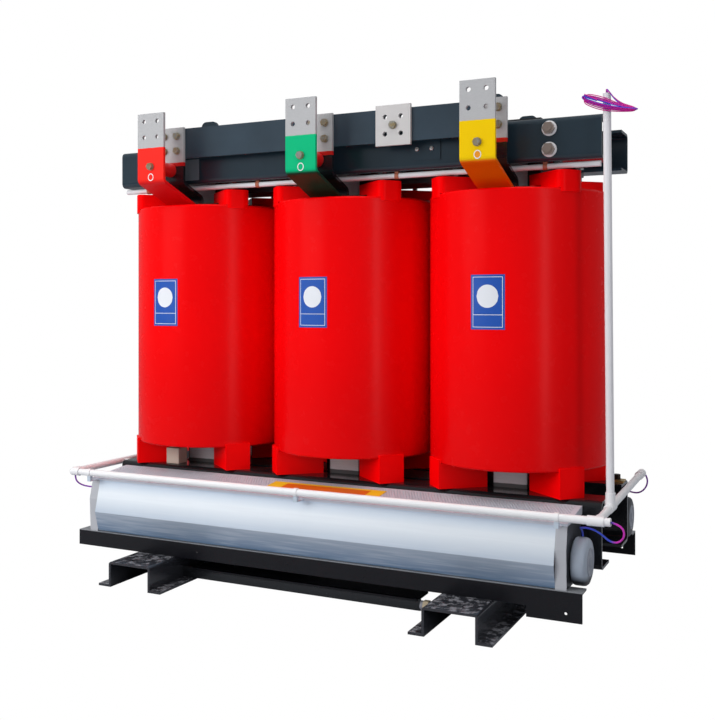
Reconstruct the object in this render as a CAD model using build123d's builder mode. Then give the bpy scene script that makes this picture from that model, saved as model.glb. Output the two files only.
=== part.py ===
"""Three-phase cast resin dry type transformer with base fans, busbars and wiring conduit.

X runs along the row of coils, the low voltage side faces -Y, and Z is up.
The origin is on the floor, under the middle coil.
"""
import os
from math import cos, radians, sin, tan

from build123d import *

os.makedirs("parts", exist_ok=True)

# Driving dimensions, in millimetres.
phases = "abc"
phase_pitch = 540
phase_x = [-phase_pitch, 0, phase_pitch]

# Skids: hat section channels across the base.
skid_x = 508
skid_length = 1020
skid_web = 152
skid_height = 76
skid_plate = 7
skid_lip = 38
skid_bend = 9
slot_length = 44
slot_width = 20
slot_inset = 45
pedestal_width = 110

# Core.
yoke_height = 170
yoke_depth = 160
yoke_step = 14
lower_yoke_z = 150
leg_width = 170
leg_steps = [(170, 84), (142, 124), (104, 160)]
window_height = 904

# Windings.
lv_inner_r = 114
lv_outer_r = 156
lv_bottom_z = 380
lv_height = 808
hv_inner_r = 190
hv_outer_r = 264
hv_bottom_z = 392
hv_height = 782
hv_rim = 7
boss_width = 150
boss_depth = 24
boss_margin = 36
boss_round = 18

# Support pads between the coils and the clamps.
pad_angle = 41
pad_width = 80
pad_inner_r = 118
pad_outer_r = 268
pad_lip = 12
pad_step_r = 176
upper_pad_height = 48
upper_pad_round = 22
pad_face_margin = 1

# Clamps: bent plate channels along both faces of the core.
clamp_face_y = 190
clamp_plate = 8
clamp_bend = 16
clamp_length = 1620
clamp_shift_x = 15
clamp_inner_y = 92
upper_clamp_z = 1248
upper_clamp_height = 120
lower_clamp_z = 135
lower_clamp_height = 185
tie_plate_width = 100
tie_plate = 8
tie_plate_inset = 12
lug_width = 60
lug_height = 80
lug_plate = 12
lug_hole_r = 13
lug_hole_drop = 32
lug_round = 18
lug_x = [-445, 519]
bracket_width = 95
bracket_height = 66
bracket_x = 316
bracket_plate = 3
bracket_rise = 58
bracket_round = 4
bracket_cut_margin = 2

# Clamp studs, jack bolts and their nuts.
stud_r = 10
stud_inset = 143
stud_spread = 58
stud_clearance = 0.5
washer_r = 17
washer_plate = 3
nut_across = 30
nut_height = 14
stud_tip = 4
jack_r = 8
jack_across = 24
jack_nut = 10
jack_reach = 18
jack_x = 151
jack_y = 131

# Low voltage busbars.
bar_width = 100
bar = 10
bar_offset_x = -12
phase_bar_y = -345
phase_bar_top_z = 1455
phase_bar_bend_z = 1240
riser_y = -240
riser_top_z = 1425
riser_bend_z = 1245
bar_fall = 20
bar_bend = 14
bar_hole_r = 7
bar_hole_pitch = 50
bar_hole_drop = 50
lead_block_depth = 10
lead_block_height = 78
lead_block_overhang = 4
riser_foot_y = -135
riser_bolt_x = 25
riser_bolt_z = 24
neutral_bus_height = 97
neutral_bus_z = 1325
neutral_bus_x = [-600, 570]
terminal_x = 236
terminal_width = 110
terminal_height = 118
terminal_z = 1314
insulator_r = 22
insulator_z = 1287
standoff_r = 16
standoff_x = [-300, 60, 400]
standoff_z = 1347
bolt_r = 6
bolt_across = 19
bolt_head = 8
bolt_washer_r = 12
bolt_washer = 2

# Fan rails, fans and the spreader bars between the skids.
rail_y = 378
rail_length = 1630
rail_height = 48
rail_plate = 5
rail_flange = 50
rail_end_drop = 30
rail_end_length = 145
rail_hole_inset = 42
rail_hole_drop = 9
rail_hole_r = 4
spreader_y = 340
spreader_z = 8
spreader_width = 32
spreader_plate = 6
spreader_sleeve_r = 11
spreader_nut_across = 28
spreader_nut = 16
spreader_sleeve = 70
spreader_nut_inset = 60
fan_gap = 2
fan_front_y = 370
fan_back_y = 212
fan_fold_y = 386
fan_fold_z = 187
fan_top_y = 362
fan_grille_z = 285
fan_sheet = 1.5
fan_half_length = 774
fan_cap = 30
fan_cap_bulge_y = 376
fan_cap_bulge_z = 227
fan_cap_foot_y = 372
fan_axis_y = 296
fan_axis_z = 184
rotor_r = 50
rotor_core_r = 36
rotor_end_gap = 6
rotor_disc = 3
rotor_bays = 6
blade_count = 20
blade = 1.6
blade_pitch_angle = 28
blade_inset = 1
shaft_r = 6
shaft_fit = 0.05
shaft_entry = 16
shaft_end_gap = 4
motor_r = 57
motor_length = 52
motor_round = 14
motor_flange_r = 50
motor_flange = 4
gland_x = 798
gland_r = 6
gland_height = 8

# Wiring conduit of white plastic tube.
tube_r = 10.5
tube_bore_r = 8.5
tube_front_y = -397
tube_front_z = 314
tube_left_x = -822
tube_right_x = 858
tube_open_x = 890
tube_back_y = 215
tube_rise = 20
tube_gap = 0.3
riser_tube_y = -240
riser_tube_top_z = 1408
riser_stub = 1
riser_tube_lean = -9
top_tube_y = -163
top_tube_z = 1236
top_tube_r = 8
top_tube_bore_r = 6
top_tube_x = [-792, 818]
clip_width = 12
clip_wall = 2
clip_x = [-700, -270, 215, 445, 665]
front_clip_x = [-755, 0, 755]
side_clip_y = -150
fitting_wall = 2.5
fitting_length = 26
tee_arm = 16
tee_stem = 39
strap_back_y = -348

# High voltage side: tap studs, terminals and the rods of the delta connection.
tap_pitch = 45
tap_rows = 3
tap_spread = 52
hv_stud_r = 6
hv_stud_length = 22
hv_plate_width = 24
hv_plate = 4
hv_nut_across = 19
hv_nut = 8
hv_terminal_inset = 70
hv_terminal_spread = 96
hv_cable_stud_length = 40
delta_r = 7
delta_y = 326
delta_step = 24
delta_bend = 30
delta_tail = 22
delta_straight = 80

# Earth terminal on the rear lower clamp.
earth_x = 800
earth_y = 150
earth_length = 48
earth_width = 40
earth_plate = 5
earth_round = 4
earth_bolt_extra = 6

# Cords, with their radius.
wire_r = 2.5
hank_length = 166
hank_width = 32
hank_depth = 14
hank_tilt = 12
hank_gap = 0.3

# Places that follow from the sizes above.
lower_yoke_top = lower_yoke_z + yoke_height
upper_yoke_z = lower_yoke_top + window_height
core_length = 2 * phase_pitch + leg_width
hv_top_z = hv_bottom_z + hv_height
lv_top_z = lv_bottom_z + lv_height
lower_clamp_top = lower_clamp_z + lower_clamp_height
upper_clamp_top = upper_clamp_z + upper_clamp_height
upper_pad_top = hv_top_z + upper_pad_height
rail_top = skid_height + rail_height
stud_x = [clamp_shift_x - clamp_length / 2 + stud_inset, clamp_shift_x + clamp_length / 2 - stud_inset]
lead_block_y = -(lv_outer_r + lead_block_depth)
gland_top_z = fan_axis_z + motor_r + gland_height
lv_hole_z = phase_bar_top_z - bar_hole_drop
pad_angles = [pad_angle, 180 - pad_angle, 180 + pad_angle, 360 - pad_angle]


# Skids: each is one bent hat section with an oval slot near both ends, and a
# welded pedestal that carries the lower yoke.
for side, name in ((-1, "skid_left"), (1, "skid_right")):
    half = skid_web / 2
    with BuildPart() as skid:
        with BuildSketch(Plane.XZ.offset(-skid_length / 2)) as section:
            with Locations((side * skid_x, skid_height / 2)):
                Rectangle(skid_web, skid_height)
            fillet(section.vertices().group_by(Axis.Y)[-1], skid_bend)
            with Locations((side * skid_x, skid_plate / 2)):
                Rectangle(skid_web + 2 * skid_lip, skid_plate)
            with Locations((side * skid_x, (skid_height - skid_plate) / 2)):
                Rectangle(skid_web - 2 * skid_plate, skid_height - skid_plate, mode=Mode.SUBTRACT)
        extrude(amount=skid_length)
        with Locations((side * skid_x, 0, (skid_height + lower_yoke_z) / 2)):
            Box(pedestal_width, yoke_depth - 2 * yoke_step, lower_yoke_z - skid_height)
        with BuildSketch(Plane.XY.offset(skid_height)):
            with Locations([(side * skid_x, end * (skid_length / 2 - slot_inset)) for end in (-1, 1)]):
                SlotOverall(slot_length, slot_width)
        extrude(amount=-skid_plate, mode=Mode.SUBTRACT)
    skid.part.label = name
    export_step(skid.part, f"parts/{name}.step")


# Core: two yokes and three stepped legs of stacked steel sheet.
for name, base_z in (("lower_yoke", lower_yoke_z), ("upper_yoke", upper_yoke_z)):
    with BuildPart() as yoke:
        with BuildSketch(Plane.YZ.offset(-core_length / 2)) as section:
            with Locations((0, base_z + yoke_height / 2)):
                Rectangle(yoke_depth, yoke_height - 2 * yoke_step)
                Rectangle(yoke_depth - 2 * yoke_step, yoke_height)
        extrude(amount=core_length)
    yoke.part.label = name
    export_step(yoke.part, f"parts/{name}.step")

for letter, x in zip(phases, phase_x):
    with BuildPart() as leg:
        with BuildSketch(Plane.XY.offset(lower_yoke_top)):
            for step_width, step_depth in leg_steps:
                with Locations((x, 0)):
                    Rectangle(step_width, step_depth)
        extrude(amount=window_height)
    leg.part.label = f"core_leg_{letter}"
    export_step(leg.part, f"parts/core_leg_{letter}.step")


# Low voltage coils: foil wound rings with a lead block at the front top.
for letter, x in zip(phases, phase_x):
    with BuildPart() as lv_coil:
        with BuildSketch(Plane.XY.offset(lv_bottom_z)):
            with Locations((x, 0)):
                Circle(lv_outer_r)
        extrude(amount=lv_height)
        with BuildSketch(Plane.XY.offset(lv_top_z)):
            with Locations((x + bar_offset_x, lead_block_y / 2)):
                Rectangle(bar_width, -lead_block_y)
        extrude(amount=-lead_block_height)
        with BuildSketch(Plane.XY.offset(lv_bottom_z)):
            with Locations((x, 0)):
                Circle(lv_inner_r)
        extrude(amount=lv_height, mode=Mode.SUBTRACT)
    lv_coil.part.label = f"lv_coil_{letter}"
    export_step(lv_coil.part, f"parts/lv_coil_{letter}.step")


# High voltage coils: resin cast rings with rounded rims and a raised boss for
# the taps and terminals on the rear.
boss_height = hv_height - 2 * boss_margin
boss_face_y = hv_outer_r + boss_depth
for letter, x in zip(phases, phase_x):
    with BuildPart() as hv_coil:
        with BuildSketch(Plane.XY.offset(hv_bottom_z)):
            with Locations((x, 0)):
                Circle(hv_outer_r)
        extrude(amount=hv_height)
        fillet(hv_coil.edges().filter_by(GeomType.CIRCLE), hv_rim)
        with BuildSketch(Plane.XZ.offset(-boss_face_y)):
            with Locations((x, hv_bottom_z + hv_height / 2)):
                RectangleRounded(boss_width, boss_height, boss_round)
        extrude(amount=boss_face_y - hv_inner_r)
        with BuildSketch(Plane.XY.offset(hv_bottom_z)):
            with Locations((x, 0)):
                Circle(hv_inner_r)
        extrude(amount=hv_height, mode=Mode.SUBTRACT)
        fillet(hv_coil.faces().sort_by(Axis.Y)[-1].edges(), hv_rim)
    hv_coil.part.label = f"hv_coil_{letter}"
    export_step(hv_coil.part, f"parts/hv_coil_{letter}.step")


# Support pads: moulded radial blocks, four below and four above each coil, with
# a lip that hooks over the rim of the high voltage coil.
lower_pad_outline = [
    (pad_inner_r, lower_clamp_top),
    (pad_outer_r, lower_clamp_top),
    (pad_outer_r, hv_bottom_z + pad_lip),
    (pad_step_r, hv_bottom_z + pad_lip),
    (pad_step_r, lv_bottom_z),
    (pad_inner_r, lv_bottom_z),
]
upper_pad_outline = [
    (pad_inner_r, upper_pad_top),
    (pad_outer_r, upper_pad_top),
    (pad_outer_r, hv_top_z - pad_lip),
    (pad_step_r, hv_top_z - pad_lip),
    (pad_step_r, lv_top_z),
    (pad_inner_r, lv_top_z),
]
for name, outline in (("lower_pads", lower_pad_outline), ("upper_pads", upper_pad_outline)):
    for letter, x in zip(phases, phase_x):
        with BuildPart() as pads:
            for angle in pad_angles:
                radial = Plane(origin=(x, 0, 0), x_dir=(cos(radians(angle)), sin(radians(angle)), 0),
                               z_dir=(sin(radians(angle)), -cos(radians(angle)), 0))
                with BuildSketch(radial):
                    with BuildLine():
                        Polyline(outline, close=True)
                    make_face()
                extrude(amount=pad_width / 2, both=True)
            if name == "upper_pads":
                ends = pads.faces().filter_by(lambda face: abs(face.normal_at().Z) < 0.1)
                outer = [face for face in ends
                         if (face.center() - Vector(x, 0, face.center().Z)).length > pad_outer_r - pad_face_margin]
                tall = [edge for face in outer for edge in face.edges().filter_by(Axis.Z)]
                fillet(tall, upper_pad_round)
            with Locations((x, 0, hv_bottom_z + hv_height / 2)):
                Cylinder(hv_outer_r, hv_height, mode=Mode.SUBTRACT)
        pads.part.label = f"{name}_{letter}"
        export_step(pads.part, f"parts/{name}_{letter}.step")


# Clamps: the front ones are bent from plate, and the rear ones are their mirror
# images. Lifting lugs are welded on the upper clamps' bends, and the lower clamps
# stand on feet.
def clamp_section(base_z, height):
    """Draw the C section of a front clamp on the plane at its left end."""
    middle_y = -(clamp_face_y + clamp_inner_y) / 2
    depth = clamp_face_y - clamp_inner_y
    with BuildSketch(Plane.YZ.offset(clamp_shift_x - clamp_length / 2)) as section:
        with Locations((middle_y, base_z + height / 2)):
            Rectangle(depth, height)
        fillet(section.vertices().group_by(Axis.X)[0], clamp_bend)
        with BuildSketch(Plane.XY, mode=Mode.SUBTRACT) as hollow:
            with Locations((middle_y + clamp_plate, base_z + height / 2)):
                Rectangle(depth, height - 2 * clamp_plate)
            fillet(hollow.vertices().group_by(Axis.X)[0], clamp_bend - clamp_plate)
    return section.sketch


jack_places = [(x + side * jack_x, jack_y) for x in phase_x for side in (-1, 1)]
stud_hole_r = stud_r + stud_clearance
upper_stud_z = upper_clamp_z + upper_clamp_height / 2
lower_stud_z = lower_clamp_z + lower_clamp_height / 2
with BuildPart() as upper_channel:
    extrude(clamp_section(upper_clamp_z, upper_clamp_height), amount=clamp_length)
    with BuildSketch(Plane.XZ.offset(clamp_face_y)):
        with Locations((bracket_x, upper_clamp_z + bracket_rise)):
            RectangleRounded(bracket_width, bracket_height, bracket_round)
    extrude(amount=bracket_plate)
    with BuildSketch(Plane.XZ.offset(clamp_face_y)):
        for x in stud_x:
            with Locations((x, upper_stud_z - stud_spread / 2), (x, upper_stud_z + stud_spread / 2)):
                Circle(stud_hole_r)
    extrude(amount=-2 * clamp_plate, mode=Mode.SUBTRACT)
    with BuildSketch(Plane.XY.offset(upper_clamp_z)):
        with Locations([(x, -y) for x, y in jack_places]):
            Circle(jack_r + stud_clearance)
    extrude(amount=clamp_plate, mode=Mode.SUBTRACT)

with BuildPart() as lifting_lugs:
    for x in lug_x:
        with BuildSketch(Plane.XZ.offset(clamp_face_y - clamp_plate - lug_plate)) as lug:
            with Locations((x, upper_clamp_top + (lug_height - clamp_plate) / 2)):
                Rectangle(lug_width, lug_height + clamp_plate)
            fillet(lug.vertices().group_by(Axis.Y)[-1], lug_round)
            with Locations((x, upper_clamp_top + lug_height - lug_hole_drop)):
                Circle(lug_hole_r, mode=Mode.SUBTRACT)
        extrude(amount=lug_plate)
    add(upper_channel.part, mode=Mode.SUBTRACT)

upper_clamp_front = Compound([*upper_channel.part.solids(), *lifting_lugs.part.solids()],
                             label="upper_clamp_front")
export_step(upper_clamp_front, "parts/upper_clamp_front.step")

with BuildPart() as rear_channel:
    mirror(upper_channel.part, about=Plane.XZ)
    with BuildSketch(Plane.XZ.offset(-clamp_face_y - bracket_plate)):
        with Locations((bracket_x, upper_clamp_z + bracket_rise)):
            Rectangle(bracket_width + bracket_cut_margin, bracket_height + bracket_cut_margin)
    extrude(amount=bracket_plate, mode=Mode.SUBTRACT)
rear_lugs = mirror(lifting_lugs.part, about=Plane.XZ)
upper_clamp_rear = Compound([*rear_channel.part.solids(), *rear_lugs.solids()], label="upper_clamp_rear")
export_step(upper_clamp_rear, "parts/upper_clamp_rear.step")

with BuildPart() as lower_clamp_front:
    extrude(clamp_section(lower_clamp_z, lower_clamp_height), amount=clamp_length)
    foot_height = lower_clamp_z - skid_height
    for side in (-1, 1):
        with Locations((side * skid_x, -(clamp_face_y + clamp_inner_y) / 2, skid_height + foot_height / 2)):
            Box(pedestal_width, clamp_face_y - clamp_inner_y - 2 * clamp_bend, foot_height)
    with BuildSketch(Plane.XZ.offset(clamp_face_y)):
        for x in stud_x:
            with Locations((x, lower_stud_z - stud_spread / 2), (x, lower_stud_z + stud_spread / 2)):
                Circle(stud_hole_r)
    extrude(amount=-2 * clamp_plate, mode=Mode.SUBTRACT)
lower_clamp_front.part.label = "lower_clamp_front"
export_step(lower_clamp_front.part, "parts/lower_clamp_front.step")

with BuildPart() as lower_clamp_rear:
    mirror(lower_clamp_front.part, about=Plane.XZ)
lower_clamp_rear.part.label = "lower_clamp_rear"
export_step(lower_clamp_rear.part, "parts/lower_clamp_rear.step")


# Tie plates: stainless strips on both faces of each leg, from clamp to clamp.
tie_bottom = lower_clamp_z + tie_plate_inset
tie_top = upper_clamp_top - tie_plate_inset
tie_middle = (tie_bottom + tie_top) / 2
with BuildPart() as tie_plates:
    for side in (-1, 1):
        with Locations([(x, side * (yoke_depth + tie_plate) / 2, tie_middle) for x in phase_x]):
            Box(tie_plate_width, tie_plate, tie_top - tie_bottom)
tie_plates.part.label = "tie_plates"
export_step(tie_plates.part, "parts/tie_plates.step")


# Clamp studs: threaded bars through both clamps, with a washer and a nut at
# each end.
with BuildPart() as clamp_studs:
    for x in stud_x:
        for middle_z in (lower_stud_z, upper_stud_z):
            for z in (middle_z - stud_spread / 2, middle_z + stud_spread / 2):
                reach = clamp_face_y + washer_plate + nut_height + stud_tip
                with BuildSketch(Plane.XZ.offset(reach)):
                    with Locations((x, z)):
                        Circle(stud_r)
                extrude(amount=-2 * reach)
                for direction in (-1, 1):
                    with BuildSketch(Plane.XZ.offset(direction * clamp_face_y)):
                        with Locations((x, z)):
                            Circle(washer_r)
                    extrude(amount=direction * washer_plate)
                    with BuildSketch(Plane.XZ.offset(direction * (clamp_face_y + washer_plate))):
                        with Locations((x, z)):
                            RegularPolygon(nut_across / 2, 6, major_radius=False)
                    extrude(amount=direction * nut_height)
clamp_studs.part.label = "clamp_studs"
export_step(clamp_studs.part, "parts/clamp_studs.step")


# Jack bolts: press the upper pads down from the flanges of the upper clamps.
with BuildPart() as jack_bolts:
    for side in (-1, 1):
        for x, y in jack_places:
            with BuildSketch(Plane.XY.offset(upper_pad_top)):
                with Locations((x, side * y)):
                    Circle(jack_r)
            extrude(amount=upper_clamp_z + jack_reach - upper_pad_top)
            for base_z in (upper_clamp_z - jack_nut, upper_clamp_z + clamp_plate):
                with BuildSketch(Plane.XY.offset(base_z)):
                    with Locations((x, side * y)):
                        RegularPolygon(jack_across / 2, 6, major_radius=False)
                extrude(amount=jack_nut)
jack_bolts.part.label = "jack_bolts"
export_step(jack_bolts.part, "parts/jack_bolts.step")


# Phase bars: flat bars that rise from the low voltage lead blocks, fall back
# under the clamp and stand up in front of it, with four holes at the top.
def bent_bar(points):
    """Sweep the flat bar section down a filleted path in a YZ plane."""
    with BuildPart() as strip:
        with BuildLine() as route:
            FilletPolyline(*points, radius=bar_bend)
        with BuildSketch(Plane(origin=points[0], x_dir=(1, 0, 0), z_dir=(0, 0, -1))):
            Rectangle(bar_width, bar)
        sweep(path=route.line)
    return strip.part


slope = tan(radians(bar_fall))
phase_foot_y = lead_block_y - bar / 2
phase_knee_z = phase_bar_bend_z - (phase_foot_y - phase_bar_y) * slope
phase_foot_z = lv_top_z - lead_block_height + lead_block_overhang
for letter, x in zip(phases, phase_x):
    centre_x = x + bar_offset_x
    with BuildPart() as phase_bar:
        add(bent_bar([(centre_x, phase_bar_y, phase_bar_top_z), (centre_x, phase_bar_y, phase_bar_bend_z),
                      (centre_x, phase_foot_y, phase_knee_z), (centre_x, phase_foot_y, phase_foot_z)]))
        with BuildSketch(Plane.XZ.offset(-phase_bar_y + bar)):
            with Locations((centre_x, lv_hole_z)):
                with GridLocations(bar_hole_pitch, bar_hole_pitch, 2, 2):
                    Circle(bar_hole_r)
            with Locations((centre_x, insulator_z)):
                Circle(bolt_r + stud_clearance)
        extrude(amount=-2 * bar, mode=Mode.SUBTRACT)
    phase_bar.part.label = f"phase_bar_{letter}"
    export_step(phase_bar.part, f"parts/phase_bar_{letter}.step")


# Neutral risers, one behind each phase bar, and the neutral bus that joins
# them, with its terminal plate.
riser_knee_z = riser_bend_z - (riser_foot_y - riser_y) * slope
riser_bolts = [(side * riser_bolt_x, neutral_bus_z + neutral_bus_height / 2 + level * riser_bolt_z)
               for side in (-1, 1) for level in (-1, 1)]
for letter, x in zip(phases, phase_x):
    centre_x = x + bar_offset_x
    with BuildPart() as neutral_riser:
        add(bent_bar([(centre_x, riser_y, riser_top_z), (centre_x, riser_y, riser_bend_z),
                      (centre_x, riser_foot_y, riser_knee_z), (centre_x, riser_foot_y, lv_top_z)]))
        with BuildSketch(Plane.XZ.offset(-riser_y + bar)):
            with Locations([(centre_x + dx, z) for dx, z in riser_bolts]):
                Circle(bolt_r + stud_clearance)
            with Locations((centre_x, insulator_z)):
                Circle(bolt_r + stud_clearance)
        extrude(amount=-2 * bar, mode=Mode.SUBTRACT)
    neutral_riser.part.label = f"neutral_riser_{letter}"
    export_step(neutral_riser.part, f"parts/neutral_riser_{letter}.step")

bus_y = riser_y + bar
terminal_holes_z = terminal_z + terminal_height / 2
with BuildPart() as neutral_bus:
    with BuildSketch(Plane.XZ.offset(-bus_y - bar / 2)) as face:
        with Locations(((neutral_bus_x[0] + neutral_bus_x[1]) / 2, neutral_bus_z + neutral_bus_height / 2)):
            Rectangle(neutral_bus_x[1] - neutral_bus_x[0], neutral_bus_height)
        with Locations([(x + bar_offset_x + dx, z) for x in phase_x for dx, z in riser_bolts]):
            Circle(bolt_r + stud_clearance, mode=Mode.SUBTRACT)
        with Locations((terminal_x, terminal_holes_z)):
            with GridLocations(bar_hole_pitch, bar_hole_pitch, 2, 2):
                Circle(bar_hole_r, mode=Mode.SUBTRACT)
            Circle(bolt_r + stud_clearance, mode=Mode.SUBTRACT)
    extrude(amount=bar)
neutral_bus.part.label = "neutral_bus"
export_step(neutral_bus.part, "parts/neutral_bus.step")

with BuildPart() as neutral_terminal:
    with BuildSketch(Plane.XZ.offset(-riser_y - bar / 2)):
        with Locations((terminal_x, terminal_holes_z)):
            Rectangle(terminal_width, terminal_height)
            with GridLocations(bar_hole_pitch, bar_hole_pitch, 2, 2):
                Circle(bar_hole_r, mode=Mode.SUBTRACT)
            Circle(bolt_r + stud_clearance, mode=Mode.SUBTRACT)
    extrude(amount=bar)
neutral_terminal.part.label = "neutral_terminal"
export_step(neutral_terminal.part, "parts/neutral_terminal.step")


# Insulators: ribbed posts between phase bars and risers, and short standoffs
# between the neutral bus and the clamp.
phase_back_y = phase_bar_y + bar / 2
riser_front_y = riser_y - bar / 2
bus_back_y = bus_y + bar / 2
with BuildPart() as insulators:
    for x in phase_x:
        with BuildSketch(Plane.XZ.offset(-riser_front_y)):
            with Locations((x + bar_offset_x, insulator_z)):
                Circle(insulator_r)
                Circle(bolt_r + stud_clearance, mode=Mode.SUBTRACT)
        extrude(amount=riser_front_y - phase_back_y)
    for x in standoff_x:
        with BuildSketch(Plane.XZ.offset(clamp_face_y)):
            with Locations((x, standoff_z)):
                Circle(standoff_r)
        extrude(amount=-bus_back_y - clamp_face_y)
insulators.part.label = "insulators"
export_step(insulators.part, "parts/insulators.step")


# Busbar bolts: hex heads with washers at the front, and a nut at the back.
def through_bolt(x, z, front_y, back_y):
    """Make one bolt along Y with its head in front of front_y and nut behind back_y."""
    with BuildPart() as bolt:
        with BuildSketch(Plane.XZ.offset(-front_y)):
            with Locations((x, z)):
                Circle(bolt_r)
        extrude(amount=front_y - back_y)
        for outer_y, direction in ((front_y, 1), (back_y, -1)):
            with BuildSketch(Plane.XZ.offset(-outer_y)):
                with Locations((x, z)):
                    Circle(bolt_washer_r)
            extrude(amount=direction * bolt_washer)
            with BuildSketch(Plane.XZ.offset(-outer_y + direction * bolt_washer)):
                with Locations((x, z)):
                    RegularPolygon(bolt_across / 2, 6, major_radius=False)
            extrude(amount=direction * bolt_head)
    return bolt.part


with BuildPart() as busbar_bolts:
    for x in phase_x:
        centre_x = x + bar_offset_x
        add(through_bolt(centre_x, insulator_z, phase_bar_y - bar / 2, riser_y + bar / 2))
        for dx, z in riser_bolts:
            add(through_bolt(centre_x + dx, z, riser_front_y, bus_back_y))
    add(through_bolt(terminal_x, terminal_holes_z, riser_front_y, bus_back_y))
busbar_bolts.part.label = "busbar_bolts"
export_step(busbar_bolts.part, "parts/busbar_bolts.step")


# Fan rails: angles across the skids, front and rear, that carry the fans. The
# front rail has a deeper end beside the fan motor.
with BuildPart() as fan_rail_front:
    with BuildSketch(Plane.YZ.offset(-rail_length / 2)):
        with Locations((-rail_y + rail_plate / 2, skid_height + rail_height / 2)):
            Rectangle(rail_plate, rail_height)
        with Locations((-rail_y + rail_flange / 2, rail_top - rail_plate / 2)):
            Rectangle(rail_flange, rail_plate)
    extrude(amount=rail_length)
    end_middle = rail_length / 2 - rail_end_length / 2
    with BuildSketch(Plane.XZ.offset(rail_y - rail_plate)):
        with Locations((end_middle, skid_height + (rail_height - rail_end_drop) / 2)):
            Rectangle(rail_end_length, rail_height + rail_end_drop)
        with Locations((rail_length / 2 - rail_hole_inset, skid_height - rail_hole_drop)):
            Circle(rail_hole_r, mode=Mode.SUBTRACT)
    extrude(amount=rail_plate)
fan_rail_front.part.label = "fan_rail_front"
export_step(fan_rail_front.part, "parts/fan_rail_front.step")

with BuildPart() as fan_rail_rear:
    mirror(fan_rail_front.part, about=Plane.XZ)
fan_rail_rear.part.label = "fan_rail_rear"
export_step(fan_rail_rear.part, "parts/fan_rail_rear.step")


# Spreader bars: angles between the skids, with a threaded end, sleeve and nut
# at the right.
skid_inner_x = skid_x - skid_web / 2
with BuildPart() as spreader_bars:
    for side in (-1, 1):
        with BuildSketch(Plane.YZ.offset(-skid_inner_x)):
            with Locations((side * spreader_y, spreader_z + spreader_width / 2)):
                Rectangle(spreader_plate, spreader_width)
            with Locations((side * (spreader_y - spreader_width / 2), spreader_z + spreader_width / 2)):
                Rectangle(spreader_width, spreader_plate)
        extrude(amount=2 * skid_inner_x - spreader_sleeve)
        with BuildSketch(Plane.YZ.offset(skid_inner_x - spreader_sleeve)):
            with Locations((side * spreader_y, spreader_z + spreader_width / 2)):
                Circle(spreader_sleeve_r)
        extrude(amount=spreader_sleeve)
        with BuildSketch(Plane.YZ.offset(skid_inner_x - spreader_nut_inset)):
            with Locations((side * spreader_y, spreader_z + spreader_width / 2)):
                RegularPolygon(spreader_nut_across / 2, 6, major_radius=False)
        extrude(amount=spreader_nut)
spreader_bars.part.label = "spreader_bars"
export_step(spreader_bars.part, "parts/spreader_bars.step")


# Fans: a folded sheet housing between two end caps, a perforated cover, a long
# cross flow rotor and a motor at the right end. The rear fan is the mirror
# image of the front one.
fan_base_z = rail_top + fan_gap
sheet_x = fan_half_length - fan_cap
with BuildPart() as fan_front_housing:
    with BuildSketch(Plane.YZ.offset(-sheet_x)):
        with BuildLine():
            outer = Polyline((-fan_top_y, fan_grille_z), (-fan_fold_y, fan_fold_z),
                             (-fan_front_y, fan_base_z), (-fan_back_y, fan_base_z),
                             (-fan_back_y, fan_grille_z))
            offset(outer, amount=fan_sheet, side=Side.LEFT)
        make_face()
    extrude(amount=2 * sheet_x)
fan_front_housing.part.label = "fan_front_housing"
export_step(fan_front_housing.part, "parts/fan_front_housing.step")

with BuildPart() as fan_front_caps:
    for side in (-1, 1):
        with BuildSketch(Plane.YZ.offset(side * fan_half_length)):
            with BuildLine():
                Polyline((-fan_top_y, fan_grille_z), (-fan_cap_bulge_y, fan_cap_bulge_z),
                         (-fan_cap_foot_y, rail_top), (-fan_back_y, rail_top),
                         (-fan_back_y, fan_grille_z), close=True)
            make_face()
            with Locations((-fan_axis_y, fan_axis_z)):
                Circle(shaft_r + shaft_fit, mode=Mode.SUBTRACT)
        extrude(amount=-side * fan_cap)
fan_front_caps.part.label = "fan_front_caps"
export_step(fan_front_caps.part, "parts/fan_front_caps.step")

with BuildPart() as fan_front_grille:
    with BuildSketch(Plane.XY.offset(fan_grille_z)):
        with Locations((0, -(fan_top_y + fan_back_y) / 2)):
            Rectangle(2 * fan_half_length, fan_top_y - fan_back_y)
    extrude(amount=fan_sheet)
fan_front_grille.part.label = "fan_front_grille"
export_step(fan_front_grille.part, "parts/fan_front_grille.step")

rotor_half = sheet_x - rotor_end_gap
bay = 2 * rotor_half / rotor_bays
with BuildPart() as fan_front_rotor:
    with BuildSketch(Plane.YZ.offset(-fan_half_length)):
        with Locations((-fan_axis_y, fan_axis_z)):
            Circle(shaft_r)
    extrude(amount=2 * fan_half_length + shaft_entry)
    for index in range(rotor_bays + 1):
        with BuildSketch(Plane.YZ.offset(-rotor_half + index * (bay - rotor_disc / rotor_bays))):
            with Locations((-fan_axis_y, fan_axis_z)):
                Circle(rotor_r)
        extrude(amount=rotor_disc)
    with BuildSketch(Plane.YZ.offset(-rotor_half)):
        with Locations((-fan_axis_y, fan_axis_z)):
            with PolarLocations((rotor_r + rotor_core_r) / 2 - blade_inset, blade_count):
                Rectangle(rotor_r - rotor_core_r, blade, rotation=blade_pitch_angle)
    extrude(amount=2 * rotor_half)
fan_front_rotor.part.label = "fan_front_rotor"
export_step(fan_front_rotor.part, "parts/fan_front_rotor.step")

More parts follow.
